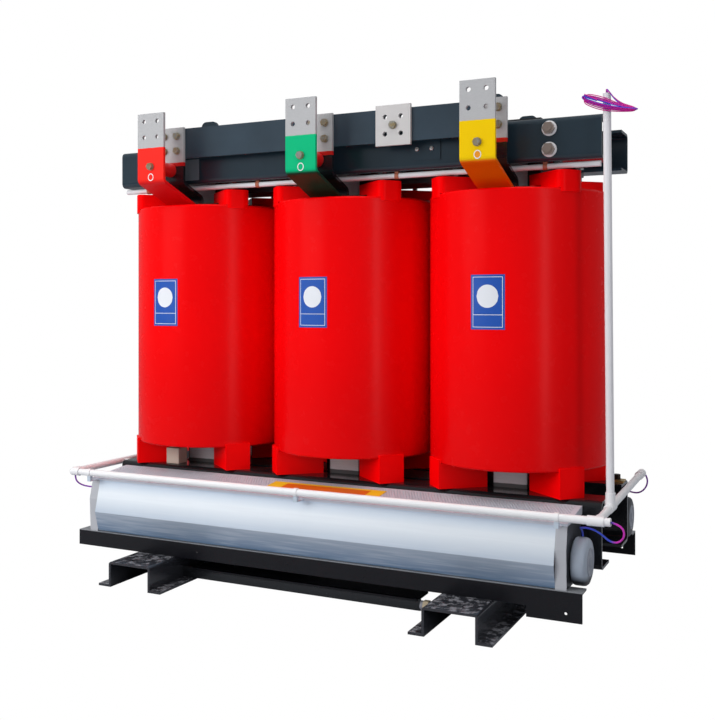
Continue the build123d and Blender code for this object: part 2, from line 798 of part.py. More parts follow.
with BuildPart() as fan_front_motor:
    with BuildSketch(Plane.YZ.offset(fan_half_length)):
        with Locations((-fan_axis_y, fan_axis_z)):
            Circle(motor_flange_r)
    extrude(amount=motor_flange)
    with BuildSketch(Plane.YZ.offset(fan_half_length + motor_flange)):
        with Locations((-fan_axis_y, fan_axis_z)):
            Circle(motor_r)
    extrude(amount=motor_length)
    fillet(fan_front_motor.faces().sort_by(Axis.X)[-1].edges(), motor_round)
    with BuildSketch(Plane.XY.offset(gland_top_z)):
        with Locations((gland_x, -fan_axis_y)):
            Circle(gland_r)
    extrude(amount=-2 * gland_height)
    with BuildSketch(Plane.YZ.offset(fan_half_length)):
        with Locations((-fan_axis_y, fan_axis_z)):
            Circle(shaft_r + shaft_fit)
    extrude(amount=shaft_entry + shaft_end_gap, mode=Mode.SUBTRACT)
fan_front_motor.part.label = "fan_front_motor"
export_step(fan_front_motor.part, "parts/fan_front_motor.step")

for front, name in ((fan_front_housing, "fan_rear_housing"), (fan_front_caps, "fan_rear_caps"),
                    (fan_front_grille, "fan_rear_grille"), (fan_front_rotor, "fan_rear_rotor"),
                    (fan_front_motor, "fan_rear_motor")):
    with BuildPart() as rear:
        mirror(front.part, about=Plane.XZ)
    rear.part.label = name
    export_step(rear.part, f"parts/{name}.step")


# Base conduit: a front tube with an open right end, and a side tube at each end
# that runs back along the base.
tube_left_end = (tube_left_x, tube_back_y, tube_front_z)
tube_right_end = (tube_right_x, tube_back_y, tube_front_z + tube_rise)


def tube(start, end, outer_r, bore_r):
    """Make a straight plastic tube between two points."""
    axis = Vector(*end) - Vector(*start)
    with BuildPart() as length:
        with BuildSketch(Plane(origin=start, z_dir=axis)):
            Circle(outer_r)
            Circle(bore_r, mode=Mode.SUBTRACT)
        extrude(amount=axis.length)
    return length.part


front_start = (tube_left_x + tube_r, tube_front_y, tube_front_z)
front_end = (tube_open_x, tube_front_y, tube_front_z)
side_start_y = tube_front_y + tube_r + tube_gap
left_start = (tube_left_x, side_start_y, tube_front_z)
right_start = (tube_right_x, side_start_y, tube_front_z)
base_runs = [(front_start, front_end), (left_start, tube_left_end), (right_start, tube_right_end)]
with BuildPart() as conduit_base:
    for start, end in base_runs:
        add(tube(start, end, tube_r, tube_bore_r))
conduit_base.part.label = "conduit_base"
export_step(conduit_base.part, "parts/conduit_base.step")


# Riser: the tube that stands on the right side run and carries the sensor
# wires up past the upper clamp.
tee_share = (riser_tube_y - side_start_y) / (tube_back_y - side_start_y)
tee_z = tube_front_z + tee_share * tube_rise
riser_base = (tube_right_x, riser_tube_y, tee_z + tube_r + riser_stub)
riser_end = (tube_right_x + riser_tube_lean, riser_tube_y, riser_tube_top_z)
with BuildPart() as conduit_riser:
    add(tube(riser_base, riser_end, tube_r, tube_bore_r))
conduit_riser.part.label = "conduit_riser"
export_step(conduit_riser.part, "parts/conduit_riser.step")


# Top conduit: a thinner tube under the front upper clamp.
top_start = (top_tube_x[0], top_tube_y, top_tube_z)
top_end = (top_tube_x[1], top_tube_y, top_tube_z)
with BuildPart() as conduit_top:
    add(tube(top_start, top_end, top_tube_r, top_tube_bore_r))
conduit_top.part.label = "conduit_top"
export_step(conduit_top.part, "parts/conduit_top.step")


# Fittings: an elbow and tees glued over the tube joints, and clips that hold
# the tubes to the fan covers, the clamp ends and the clamp flange.
def rod(start, end, outer_r):
    """Make a solid round bar between two points."""
    axis = Vector(*end) - Vector(*start)
    with BuildPart() as length:
        with BuildSketch(Plane(origin=start, z_dir=axis)):
            Circle(outer_r)
        extrude(amount=axis.length)
    return length.part


fitting_r = tube_r + fitting_wall
left_corner = (tube_left_x, tube_front_y, tube_front_z)
right_corner = (tube_right_x, tube_front_y, tube_front_z)
tee = (tube_right_x, riser_tube_y, tee_z)
clamp_ends = (clamp_shift_x - clamp_length / 2, clamp_shift_x + clamp_length / 2)
cover_top = fan_grille_z + fan_sheet
strap_depth = strap_back_y - tube_front_y
tube_runs = base_runs + [(riser_base, riser_end)]
with BuildPart() as conduit_fittings:
    add(rod(left_corner, (tube_left_x + fitting_length, tube_front_y, tube_front_z), fitting_r))
    add(rod(left_corner, (tube_left_x, tube_front_y + fitting_length, tube_front_z), fitting_r))
    with Locations(left_corner, tube_right_end):
        Sphere(fitting_r)
    add(rod((tube_right_x - fitting_length, tube_front_y, tube_front_z),
            (tube_right_x + tee_arm, tube_front_y, tube_front_z), fitting_r))
    add(rod(right_corner, (tube_right_x, tube_front_y + fitting_length, tube_front_z), fitting_r))
    add(rod((tube_right_x, riser_tube_y - fitting_length, tee_z),
            (tube_right_x, riser_tube_y + fitting_length, tee_z), fitting_r))
    add(rod(tee, (tube_right_x, riser_tube_y, tee_z + tee_stem), fitting_r))
    add(rod((tube_right_x, tube_back_y - fitting_length, tube_front_z + tube_rise), tube_right_end,
            fitting_r))
    add(tube(tube_right_end, (tube_right_x, tube_back_y + fitting_length, tube_front_z + tube_rise),
             fitting_r, tube_bore_r))
    for x in front_clip_x:
        with Locations((x, tube_front_y - clip_width / 2, cover_top)):
            Box(clip_width, strap_depth + clip_width / 2, clip_wall,
                align=(Align.CENTER, Align.MIN, Align.MIN))
        with Locations((x, tube_front_y, cover_top)):
            Box(clip_width, clip_width, tube_front_z - cover_top,
                align=(Align.CENTER, Align.CENTER, Align.MIN))
        add(rod((x - clip_width / 2, tube_front_y, tube_front_z),
                (x + clip_width / 2, tube_front_y, tube_front_z), tube_r + clip_wall))
    for x in clip_x:
        with Locations((x, top_tube_y, upper_clamp_z)):
            Box(clip_width, clip_width, upper_clamp_z - top_tube_z,
                align=(Align.CENTER, Align.CENTER, Align.MAX))
        add(rod((x - clip_width / 2, top_tube_y, top_tube_z),
                (x + clip_width / 2, top_tube_y, top_tube_z), top_tube_r + clip_wall))
    for end_x, tube_x in zip(clamp_ends, (tube_left_x, tube_right_x)):
        with Locations(((end_x + tube_x) / 2, side_clip_y, tube_front_z)):
            Box(abs(tube_x - end_x), clip_width, clip_width)
    for start, end in tube_runs:
        add(rod(start, end, tube_r), mode=Mode.SUBTRACT)
    add(rod(top_start, top_end, top_tube_r), mode=Mode.SUBTRACT)
conduit_fittings.part.label = "conduit_fittings"
export_step(conduit_fittings.part, "parts/conduit_fittings.step")


# High voltage terminals: tap studs in pairs with one link plate, and at the
# top and bottom of each boss a plate with its studs.
hv_terminal_top = hv_top_z - hv_terminal_inset
hv_terminal_low = hv_bottom_z + hv_terminal_inset
hv_middle_z = hv_bottom_z + hv_height / 2
hv_plate_y = boss_face_y + hv_plate


def rear_stud(x, z, tip_y):
    """Make a threaded stud on the rear of a boss, with one nut on its plate."""
    with BuildPart() as stud:
        with BuildSketch(Plane.XZ.offset(-boss_face_y)):
            with Locations((x, z)):
                Circle(hv_stud_r)
        extrude(amount=boss_face_y - tip_y)
        with BuildSketch(Plane.XZ.offset(-hv_plate_y)):
            with Locations((x, z)):
                RegularPolygon(hv_nut_across / 2, 6, major_radius=False)
        extrude(amount=-hv_nut)
    return stud.part


with BuildPart() as hv_terminals:
    for letter, x in zip(phases, phase_x):
        for row in range(tap_rows):
            z = hv_middle_z + (row - (tap_rows - 1) / 2) * tap_pitch
            for side in (-1, 1):
                add(rear_stud(x + side * tap_spread / 2, z, boss_face_y + hv_stud_length))
        with BuildSketch(Plane.XZ.offset(-boss_face_y)):
            with Locations((x, hv_middle_z)):
                SlotOverall(tap_spread + hv_plate_width, hv_plate_width)
            with Locations((x, hv_terminal_top), (x, hv_terminal_low)):
                SlotOverall(hv_terminal_spread + hv_plate_width, hv_plate_width)
        extrude(amount=-hv_plate)
        outer = delta_y + (delta_step if letter == phases[0] else 0) - delta_r
        add(rear_stud(x - hv_terminal_spread / 2, hv_terminal_top, outer))
        add(rear_stud(x + hv_terminal_spread / 2, hv_terminal_top, boss_face_y + hv_cable_stud_length))
        outer = delta_y + (delta_step if letter == phases[-1] else 0) - delta_r
        add(rear_stud(x + hv_terminal_spread / 2, hv_terminal_low, outer))
hv_terminals.part.label = "hv_terminals"
export_step(hv_terminals.part, "parts/hv_terminals.step")


# Delta rods: each joins the bottom terminal of one coil to the top terminal of
# the next, and the last crosses behind the other two.
with BuildPart() as delta_rods:
    for start_x, end_x, y in ((phase_x[0], phase_x[1], delta_y), (phase_x[1], phase_x[2], delta_y),
                              (phase_x[2], phase_x[0], delta_y + delta_step)):
        low_x = start_x + hv_terminal_spread / 2
        high_x = end_x - hv_terminal_spread / 2
        with BuildPart(mode=Mode.PRIVATE) as rod:
            with BuildLine() as route:
                FilletPolyline((low_x, y, hv_terminal_low - delta_tail),
                               (low_x, y, hv_terminal_low + delta_straight),
                               (high_x, y, hv_terminal_top - delta_straight),
                               (high_x, y, hv_terminal_top + delta_tail), radius=delta_bend)
            with BuildSketch(Plane(origin=route.line @ 0, z_dir=route.line % 0)):
                Circle(delta_r)
            sweep(path=route.line)
        add(rod.part)
delta_rods.part.label = "delta_rods"
export_step(delta_rods.part, "parts/delta_rods.step")


# Earth terminal: a brass plate with its bolt on the rear lower clamp.
with BuildPart() as earth_terminal:
    with BuildSketch(Plane.XY.offset(lower_clamp_top)):
        with Locations((earth_x, earth_y)):
            RectangleRounded(earth_length, earth_width, earth_round)
    extrude(amount=earth_plate)
    with BuildSketch(Plane.XY.offset(lower_clamp_top + earth_plate)):
        with Locations((earth_x, earth_y)):
            Circle(bolt_washer_r)
    extrude(amount=bolt_washer)
    with BuildSketch(Plane.XY.offset(lower_clamp_top + earth_plate + bolt_washer)):
        with Locations((earth_x, earth_y)):
            RegularPolygon(bolt_across / 2, 6, major_radius=False)
    extrude(amount=bolt_head + earth_bolt_extra)
earth_terminal.part.label = "earth_terminal"
export_step(earth_terminal.part, "parts/earth_terminal.step")


# Cords: short fan leads from the conduit ends, and the hank of sensor wires
# tied at the top of the riser.
def cord_radii(points):
    """Give each corner of a cord's route the largest radius its runs allow."""
    radii = []
    for before, corner, after in zip(points, points[1:], points[2:]):
        first = Vector(*corner) - Vector(*before)
        second = Vector(*after) - Vector(*corner)
        half_turn = radians(first.get_angle(second)) / 2
        radii.append(0.45 * min(first.length, second.length) / tan(half_turn))
    return radii


front_lead_points = [
    (890, -397, 314), (908, -398, 311), (923, -399, 298), (922, -400, 278), (906, -400, 265),
    (886, -399, 268), (868, -396, 282), (848, -391, 291), (826, -377, 291), (808, -354, 284),
    (799, -328, 277), (797, -306, 270), (798, -296, 257), (798, -296, 249),
]
left_lead_points = [
    (-815, -397, 300.6), (-815, -396, 288), (-809, -390, 276), (-798, -379, 267), (-786, -369, 263),
    (-775.2, -365, 262),
]
rear_lead_points = [
    (858, 241, 334), (860, 257, 333), (866, 271, 323), (870, 277, 305), (866, 276, 287),
    (854, 277, 272), (838, 282, 264), (820, 289, 264), (806, 294, 266), (798, 296, 259), (798, 296, 249),
]
for name, points in (("lead_front", front_lead_points), ("lead_left", left_lead_points),
                     ("lead_rear", rear_lead_points)):
    radii = cord_radii(points)
    with BuildPart() as lead:
        with BuildLine() as route:
            FilletPolyline(*points, radius=radii)
        with BuildSketch(Plane(origin=route.line @ 0, z_dir=route.line % 0)):
            Circle(wire_r)
        sweep(path=route.line)
    print(name, "bend radii", [round(radius, 1) for radius in radii], "length", round(route.wire().length, 1))
    lead.part.label = name
    export_step(lead.part, f"parts/{name}.step")

hank_y = riser_tube_y - tube_r - hank_gap
hank_plane = Plane(origin=(riser_end[0], hank_y, riser_tube_top_z - hank_width),
                   x_dir=(cos(radians(hank_tilt)), 0, -sin(radians(hank_tilt))), z_dir=(0, -1, 0))
with BuildPart() as sensor_hank:
    with BuildSketch(hank_plane):
        SlotOverall(hank_length, hank_width)
    extrude(amount=hank_depth)
sensor_hank.part.label = "sensor_hank"
export_step(sensor_hank.part, "parts/sensor_hank.step")
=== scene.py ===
"""Looks of the cast resin dry type transformer: camera, studio, wires, trim and materials."""
import math
import random

import bmesh
import bpy
from mathutils import Matrix, Vector


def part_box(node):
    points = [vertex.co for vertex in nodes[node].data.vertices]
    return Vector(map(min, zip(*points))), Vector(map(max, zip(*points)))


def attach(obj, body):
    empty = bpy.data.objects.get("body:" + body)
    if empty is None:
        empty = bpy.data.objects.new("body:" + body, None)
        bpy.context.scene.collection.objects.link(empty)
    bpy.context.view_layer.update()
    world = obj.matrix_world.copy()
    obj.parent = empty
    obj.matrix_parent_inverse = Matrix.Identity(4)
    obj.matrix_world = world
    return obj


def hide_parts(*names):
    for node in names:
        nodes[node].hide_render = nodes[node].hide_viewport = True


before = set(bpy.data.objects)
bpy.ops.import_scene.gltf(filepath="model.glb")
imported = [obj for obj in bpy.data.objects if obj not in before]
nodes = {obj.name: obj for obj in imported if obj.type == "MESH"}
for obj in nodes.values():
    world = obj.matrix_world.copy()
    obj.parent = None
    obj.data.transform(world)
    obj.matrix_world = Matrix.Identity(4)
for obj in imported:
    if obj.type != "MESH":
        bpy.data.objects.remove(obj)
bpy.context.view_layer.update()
mm = 0.001


# Camera: it stands to the right of the low voltage side, level with the coils,
# and looks a little to the left. Its height and the shift keep uprights parallel.
camera_data = bpy.data.cameras.new("camera")
camera_data.sensor_width = 36
camera_data.lens = 48.62
camera_data.shift_x = -0.00175
camera_data.shift_y = -0.0782
camera = bpy.data.objects.new("camera", camera_data)
camera.location = (1.3698, -2.8293, 0.8530)
camera.rotation_euler = (math.radians(90.03), 0, math.radians(25.69))
bpy.context.scene.collection.objects.link(camera)
bpy.context.scene.camera = camera
bpy.context.scene.view_settings.view_transform = "Standard"


# Studio: a white floor and surroundings that the camera sees as pure white,
# with soft panels in front, on both sides and above.
def add_node(tree, kind, inputs=None, **settings):
    """Add one node; inputs maps socket names or numbers to values or to sockets."""
    node = tree.nodes.new(kind)
    for key, value in settings.items():
        setattr(node, key, value)
    for key, value in (inputs or {}).items():
        if isinstance(value, bpy.types.NodeSocket):
            tree.links.new(value, node.inputs[key])
        else:
            node.inputs[key].default_value = value
    return node


def rgba(color):
    """Give a colour its alpha."""
    return (*color, 1)


def mix_colors(tree, factor, first, second):
    """Mix two colours; each may be a value or a socket."""
    first = first if isinstance(first, bpy.types.NodeSocket) else rgba(first)
    second = second if isinstance(second, bpy.types.NodeSocket) else rgba(second)
    mix = add_node(tree, "ShaderNodeMix", {0: factor, 6: first, 7: second}, data_type="RGBA")
    return mix.outputs[2]


def ramp(tree, value, low, high):
    """Rise from 0 to 1 while value goes from low to high."""
    return add_node(tree, "ShaderNodeMapRange", {0: value, 1: low, 2: high}).outputs[0]


def new_tree(name):
    """Start a material and return it with its emptied tree and its output node."""
    material = bpy.data.materials.new(name)
    material.use_nodes = True
    tree = material.node_tree
    tree.nodes.clear()
    return material, tree, tree.nodes.new("ShaderNodeOutputMaterial")


def by_ray(tree, kind, ordinary, special):
    """Use the special shader for rays of one kind and the ordinary one for the rest."""
    ray = add_node(tree, "ShaderNodeLightPath")
    return add_node(tree, "ShaderNodeMixShader", {0: ray.outputs[kind], 1: ordinary, 2: special}).outputs[0]


world = bpy.data.worlds.new("studio")
bpy.context.scene.world = world
world.use_nodes = True
world.node_tree.nodes.clear()
direction = add_node(world.node_tree, "ShaderNodeTexCoord").outputs["Generated"]
height = add_node(world.node_tree, "ShaderNodeSeparateXYZ", {0: direction}).outputs[2]
sky_tone = mix_colors(world.node_tree, ramp(world.node_tree, height, -0.1, 0.7),
                      (0.55, 0.58, 0.62), (0.95, 0.97, 1.0))
room = add_node(world.node_tree, "ShaderNodeBackground", {"Color": sky_tone, "Strength": 0.50})
gloss_room = add_node(world.node_tree, "ShaderNodeBackground", {"Color": sky_tone, "Strength": 0.42})
white = add_node(world.node_tree, "ShaderNodeBackground", {"Color": (1, 1, 1, 1), "Strength": 1})
seen = by_ray(world.node_tree, "Is Glossy Ray", room.outputs[0], gloss_room.outputs[0])
seen = by_ray(world.node_tree, "Is Camera Ray", seen, white.outputs[0])
world_output = world.node_tree.nodes.new("ShaderNodeOutputWorld")
world.node_tree.links.new(seen, world_output.inputs[0])

floor_material, tree, output = new_tree("floor")
floor_paint = add_node(tree, "ShaderNodeBsdfDiffuse", {"Color": (0.40, 0.42, 0.45, 1)})
white = add_node(tree, "ShaderNodeEmission", {"Color": (1, 1, 1, 1), "Strength": 1})
tree.links.new(by_ray(tree, "Is Camera Ray", floor_paint.outputs[0], white.outputs[0]), output.inputs[0])
floor_mesh = bpy.data.meshes.new("floor")
floor_form = bmesh.new()
bmesh.ops.create_grid(floor_form, x_segments=1, y_segments=1, size=30)
floor_form.to_mesh(floor_mesh)
floor_form.free()
floor = bpy.data.objects.new("floor", floor_mesh)
floor_mesh.materials.append(floor_material)
bpy.context.scene.collection.objects.link(floor)

target = Vector((0, 0, 0.7))
for name, place, width, tall, power, tint, in_gloss in (
    ("front_left", (-2.6, -3.6, 1.9), 2.6, 2.2, 124, (1.0, 1.0, 1.0), False),
    ("front_right", (3.4, -2.6, 1.2), 0.5, 2.4, 16, (1.0, 0.97, 1.0), True),
    ("above", (0.0, -0.8, 4.2), 3.6, 2.4, 72, (1.0, 1.0, 1.0), False),
    ("rear", (-1.2, 3.8, 2.2), 2.6, 1.8, 60, (0.98, 0.99, 1.0), False),
):
    light_data = bpy.data.lights.new(name, "AREA")
    light_data.shape = "RECTANGLE"
    light_data.size = width
    light_data.size_y = tall
    light_data.energy = power
    light_data.color = tint
    light = bpy.data.objects.new(name, light_data)
    light.location = place
    light.visible_glossy = in_gloss
    light.rotation_euler = (target - Vector(place)).to_track_quat("-Z", "Y").to_euler()
    bpy.context.scene.collection.objects.link(light)


# Frame: clamps, rails and skids, folded from steel plate, bolted together and
# painted. The upper clamps are black with a painted blue grey reflection of the sky,
# and the rest is black. The skid tops turn a mottled grey in patches, and the rails
# carry a few pale specks and a painted highlight along their upper edge.
def math_node(tree, operation, first, second=0.0):
    """Do one sum on two numbers or sockets."""
    return add_node(tree, "ShaderNodeMath", {0: first, 1: second}, operation=operation).outputs[0]


def coordinates(tree):
    """Give the object coordinate vector and its three parts."""
    place = add_node(tree, "ShaderNodeTexCoord").outputs["Object"]
    parts = add_node(tree, "ShaderNodeSeparateXYZ", {0: place}).outputs
    return place, parts[0], parts[1], parts[2]


def normal_parts(tree):
    """Give the three parts of the surface normal."""
    normal = add_node(tree, "ShaderNodeNewGeometry").outputs["Normal"]
    return add_node(tree, "ShaderNodeSeparateXYZ", {0: normal}).outputs


def uneven_group():
    """Make the group that breaks up a colour, a roughness and a surface."""
    group = bpy.data.node_groups.new("uneven_surface", "ShaderNodeTree")
    for name, kind in (("Color", "NodeSocketColor"), ("Roughness", "NodeSocketFloat"),
                       ("Scale", "NodeSocketFloat"), ("Tint", "NodeSocketFloat"),
                       ("Bump", "NodeSocketFloat"), ("Dust", "NodeSocketFloat")):
        group.interface.new_socket(name=name, in_out="INPUT", socket_type=kind)
    for name, kind in (("Color", "NodeSocketColor"), ("Roughness", "NodeSocketFloat"),
                       ("Normal", "NodeSocketVector")):
        group.interface.new_socket(name=name, in_out="OUTPUT", socket_type=kind)
    given = group.nodes.new("NodeGroupInput").outputs
    place = add_node(group, "ShaderNodeTexCoord").outputs["Object"]
    broad = add_node(group, "ShaderNodeTexNoise", {"Vector": place, "Scale": 5.0, "Detail": 4.0}).outputs[0]
    fine = add_node(group, "ShaderNodeTexNoise",
                    {"Vector": place, "Scale": given["Scale"], "Detail": 3.0}).outputs[0]
    shade = math_node(group, "MULTIPLY", math_node(group, "SUBTRACT", broad, 0.5), given["Tint"])
    light = add_node(group, "ShaderNodeHueSaturation",
                     {"Value": math_node(group, "ADD", shade, 1.0), "Color": given["Color"]}).outputs[0]
    up = normal_parts(group)[2]
    lying = math_node(group, "MULTIPLY", ramp(group, up, 0.6, 1.0), ramp(group, broad, 0.35, 0.7))
    dusty = mix_colors(group, math_node(group, "MULTIPLY", lying, given["Dust"]), light, (0.55, 0.53, 0.50))
    rough = math_node(group, "ADD", given["Roughness"],
                      math_node(group, "MULTIPLY", math_node(group, "SUBTRACT", fine, 0.5), 0.12))
    bump = add_node(group, "ShaderNodeBump",
                    {"Strength": given["Bump"], "Distance": 0.001, "Height": fine}).outputs[0]
    result = group.nodes.new("NodeGroupOutput").inputs
    group.links.new(dusty, result["Color"])
    group.links.new(rough, result["Roughness"])
    group.links.new(bump, result["Normal"])
    return group


uneven = uneven_group()


def finish(name, color, roughness, metallic=0.0, coat=0.0, scale=220.0, tint=0.12, bump=0.15, dust=0.0,
           specular=0.5, shape=None):
    """Make a finish; shape may change its colour from the object coordinates."""
    material, tree, output = new_tree(name)
    tone = shape(tree, color) if shape else rgba(color)
    group = add_node(tree, "ShaderNodeGroup",
                     {"Color": tone, "Roughness": roughness, "Scale": scale, "Tint": tint, "Bump": bump,
                      "Dust": dust}, node_tree=uneven)
    surface = add_node(tree, "ShaderNodeBsdfPrincipled",
                       {"Base Color": group.outputs["Color"], "Roughness": group.outputs["Roughness"],
                        "Normal": group.outputs["Normal"], "Metallic": metallic, "Coat Weight": coat,
                        "Coat Roughness": 0.08, "Specular IOR Level": specular})
    tree.links.new(surface.outputs[0], output.inputs[0])
    return material


def paint_nodes(material, *names):
    """Give CAD nodes a material."""
    for name in names:
        mesh = nodes[name].data
        mesh.materials.clear()
        mesh.materials.append(material)


def above(tree, value, limit, blur=0.8 * mm, wander=2 * mm):
    """Be 1 where value is over limit, with an edge a little uneven like a paint line."""
    place, *_ = coordinates(tree)
    wave = add_node(tree, "ShaderNodeTexNoise", {"Vector": place, "Scale": 60.0}).outputs[0]
    shift = math_node(tree, "MULTIPLY", math_node(tree, "SUBTRACT", wave, 0.5), wander)
    moved = math_node(tree, "ADD", value, shift)
    return ramp(tree, moved, limit - blur, limit + blur)


def mottled_up_faces(tree, color):
    """Turn what faces up to a mottled grey in patches."""
    place, *_ = coordinates(tree)
    up = normal_parts(tree)[2]
    patches = add_node(tree, "ShaderNodeTexNoise",
                       {"Vector": place, "Scale": 42.0, "Detail": 6.0, "Roughness": 0.7}).outputs[0]
    pale_patches = math_node(tree, "MULTIPLY", ramp(tree, patches, 0.47, 0.60), ramp(tree, up, 0.9, 1.0))
    return mix_colors(tree, math_node(tree, "MULTIPLY", pale_patches, 0.65), color, (0.36, 0.36, 0.39))


def specks_and_edge_highlight(tree, color, skid_x=0.46, highlight_low=0.1215, highlight_high=0.1235):
    """Scatter specks by the skids and paint a highlight along the rail's upper edge."""
    place, x, _, z = coordinates(tree)
    cells = add_node(tree, "ShaderNodeTexVoronoi", {"Vector": place, "Scale": 48.0, "Randomness": 1.0})
    from_skid = math_node(tree, "SUBTRACT", math_node(tree, "ABSOLUTE", x), skid_x)
    near_skid = ramp(tree, math_node(tree, "ABSOLUTE", from_skid), 0.11, 0.05)
    dot = math_node(tree, "MULTIPLY", ramp(tree, cells.outputs["Distance"], 0.14, 0.10), near_skid)
    chosen = add_node(tree, "ShaderNodeSeparateColor", {0: cells.outputs["Color"]}).outputs[0]
    dot = math_node(tree, "MULTIPLY", dot, ramp(tree, chosen, 0.84, 0.86))
    # A painted highlight along the rail's upper edge.
    edge = ramp(tree, z, highlight_low, highlight_high)
    with_highlight = mix_colors(tree, math_node(tree, "MULTIPLY", edge, 0.55), color, (0.45, 0.47, 0.50))
    return mix_colors(tree, dot, with_highlight, (0.7, 0.7, 0.7))


black = (0.009, 0.010, 0.012)
clamp_black = finish("clamp_black", black, 0.18, coat=0.15, scale=35, tint=0.5, bump=0.12, dust=0.02,
                     specular=0.4)
skid_black = finish("skid_black", (0.020, 0.021, 0.026), 0.22, coat=0.4, scale=120, tint=0.5, bump=0.35,
                    shape=mottled_up_faces)
rail_black = finish("rail_black", (0.004, 0.004, 0.006), 0.30, scale=140, tint=0.4, bump=0.3, specular=0.35,
                    shape=specks_and_edge_highlight)
# The upper clamps are black; this blue grey is a painted reflection of the sky.
clamp_sky_sheen = finish("clamp_sky_sheen", (0.016, 0.030, 0.042), 0.22, coat=0.15, scale=35, tint=0.9, bump=0.12,
                    dust=0.02, specular=0.4)
paint_nodes(clamp_sky_sheen, "upper_clamp_front", "upper_clamp_rear")
paint_nodes(clamp_black, "lower_clamp_front", "lower_clamp_rear")
paint_nodes(skid_black, "skid_left", "skid_right")
paint_nodes(rail_black, "fan_rail_front", "fan_rail_rear")


def spreader_tone(tree, color, sleeve_x=0.362, nut_x=0.3719, nut_end_x=0.388):
    """Grey the sleeve at the bar's right end and yellow the nut on it."""
    _, x, _, _ = coordinates(tree)
    sleeve = above(tree, x, sleeve_x)
    past_nut = above(tree, x, nut_end_x)
    nut = math_node(tree, "MULTIPLY", above(tree, x, nut_x), math_node(tree, "SUBTRACT", 1.0, past_nut))
    grey = mix_colors(tree, sleeve, color, (0.30, 0.30, 0.34))
    return mix_colors(tree, nut, grey, (0.55, 0.45, 0.30))


paint_nodes(finish("spreader_black", black, 0.25, coat=0.3, tint=0.4, bump=0.2, shape=spreader_tone),
            "spreader_bars")


def add_piece(name, data, material):
    """Link a piece, give it its finish and let it ride on the frame."""
    piece = bpy.data.objects.new(name, data)
    data.materials.append(material)
    bpy.context.scene.collection.objects.link(piece)
    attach(piece, "frame")
    return piece


def mesh_from(form, name, smooth=False):
    """Turn a bmesh into mesh data."""
    bmesh.ops.recalc_face_normals(form, faces=form.faces)
    data = bpy.data.meshes.new(name)
    form.to_mesh(data)
    form.free()
    for face in data.polygons:
        face.use_smooth = smooth
    return data


def lean_up(form, foot_y, back_y, rise, over_z):
    """Lift what is over over_z, from nothing at foot_y to the full rise at back_y."""
    for vert in form.verts:
        if vert.co.z > over_z:
            vert.co.z += rise * (vert.co.y - foot_y) / (back_y - foot_y)


def plate(name, low, high, round_by, material, lean=None):
    """Make a thin plate between two corners, with its edges bevelled."""
    form = bmesh.new()
    bmesh.ops.create_cube(form, size=1)
    size = Vector(high) - Vector(low)
    bmesh.ops.transform(form, matrix=Matrix.Translation((Vector(low) + Vector(high)) / 2)
                        @ Matrix.Diagonal((*size, 1)), verts=form.verts)
    bmesh.ops.bevel(form, geom=form.edges[:], offset=round_by, segments=2, profile=0.5, affect="EDGES",
                    material=-1)
    if lean:
        lean_up(form, *lean, over_z=0)
    return add_piece(name, mesh_from(form, name), material)


clamp_face = -0.190
patch_grey = finish("patch_grey", (0.13, 0.15, 0.17), 0.35, scale=60, tint=0.5, bump=0.2)
plate("clamp_patch", (-0.533, clamp_face - 1.5 * mm, 1.259), (-0.479, clamp_face, 1.327), 0.5 * mm, patch_grey)
skid_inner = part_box("skid_right")[0].x
# Behind each spreader bar lies a thin black plate that stands in for the shade under the rail.
for side, (inner_y, outer_y) in (("front", (-0.348, -0.262)), ("rear", (0.262, 0.348))):
    plate(f"spreader_shade_plate_{side}", (-skid_inner, inner_y, 0.034), (skid_inner - 40 * mm, outer_y, 0.040),
          1 * mm, rail_black)


# Core: a stack of black lacquered sheet steel, clamped between the frame's
# halves, with the edges of the sheets just showing.
def stretched_noise(tree, stretch, **inputs):
    """Give a noise whose spots are drawn out to lines; stretch holds its scale along each axis."""
    place, *_ = coordinates(tree)
    drawn = add_node(tree, "ShaderNodeMapping", {"Vector": place, "Scale": stretch}).outputs[0]
    return add_node(tree, "ShaderNodeTexNoise", {"Vector": drawn, **inputs}).outputs[0]


def core_sheets(tree, color):
    """Draw the edges of the sheets, which lie across the core."""
    lines = stretched_noise(tree, (2.0, 900.0, 2.0), Scale=1.0, Detail=2.0)
    return mix_colors(tree, ramp(tree, lines, 0.40, 0.65), color, (0.035, 0.036, 0.040))


core_black = finish("core_black", (0.008, 0.008, 0.010), 0.42, scale=160, tint=0.4, bump=0.3, dust=0.05,
                    shape=core_sheets)
paint_nodes(core_black, "lower_yoke", "upper_yoke", "core_leg_a", "core_leg_b", "core_leg_c")


# Coils: windings cast in a glossy, strong red resin that stand between red pads,
# with painted shade that darkens them a little low down. The windings inside are
# brown, and a beige block is wedged between two lower pads.
def resin_shaded_low(tree, color, shade_start_z=0.75, shade_full_z=0.40):
    """Paint shade on the red, darker from one height down to the other."""
    *_, z = coordinates(tree)
    shade_red = [part * 0.82 for part in color]
    return mix_colors(tree, ramp(tree, z, shade_start_z, shade_full_z), color, shade_red)


red = (0.90, 0.0008, 0.002)
coil_red = finish("coil_red", red, 0.26, scale=26, tint=0.05, bump=0.25, specular=0.09, shape=resin_shaded_low)
pad_red = finish("pad_red", (1.0, 0.0, 0.001), 0.36, scale=90, tint=0.06, bump=0.2, specular=0.06)
for letter in "abc":
    paint_nodes(coil_red, f"hv_coil_{letter}")
    paint_nodes(pad_red, f"lower_pads_{letter}", f"upper_pads_{letter}")


def foil_tone(tree, color):
    """Band the brown of the wound foil."""
    bands = stretched_noise(tree, (6.0, 6.0, 60.0))
    return mix_colors(tree, bands, color, (0.16, 0.05, 0.025))


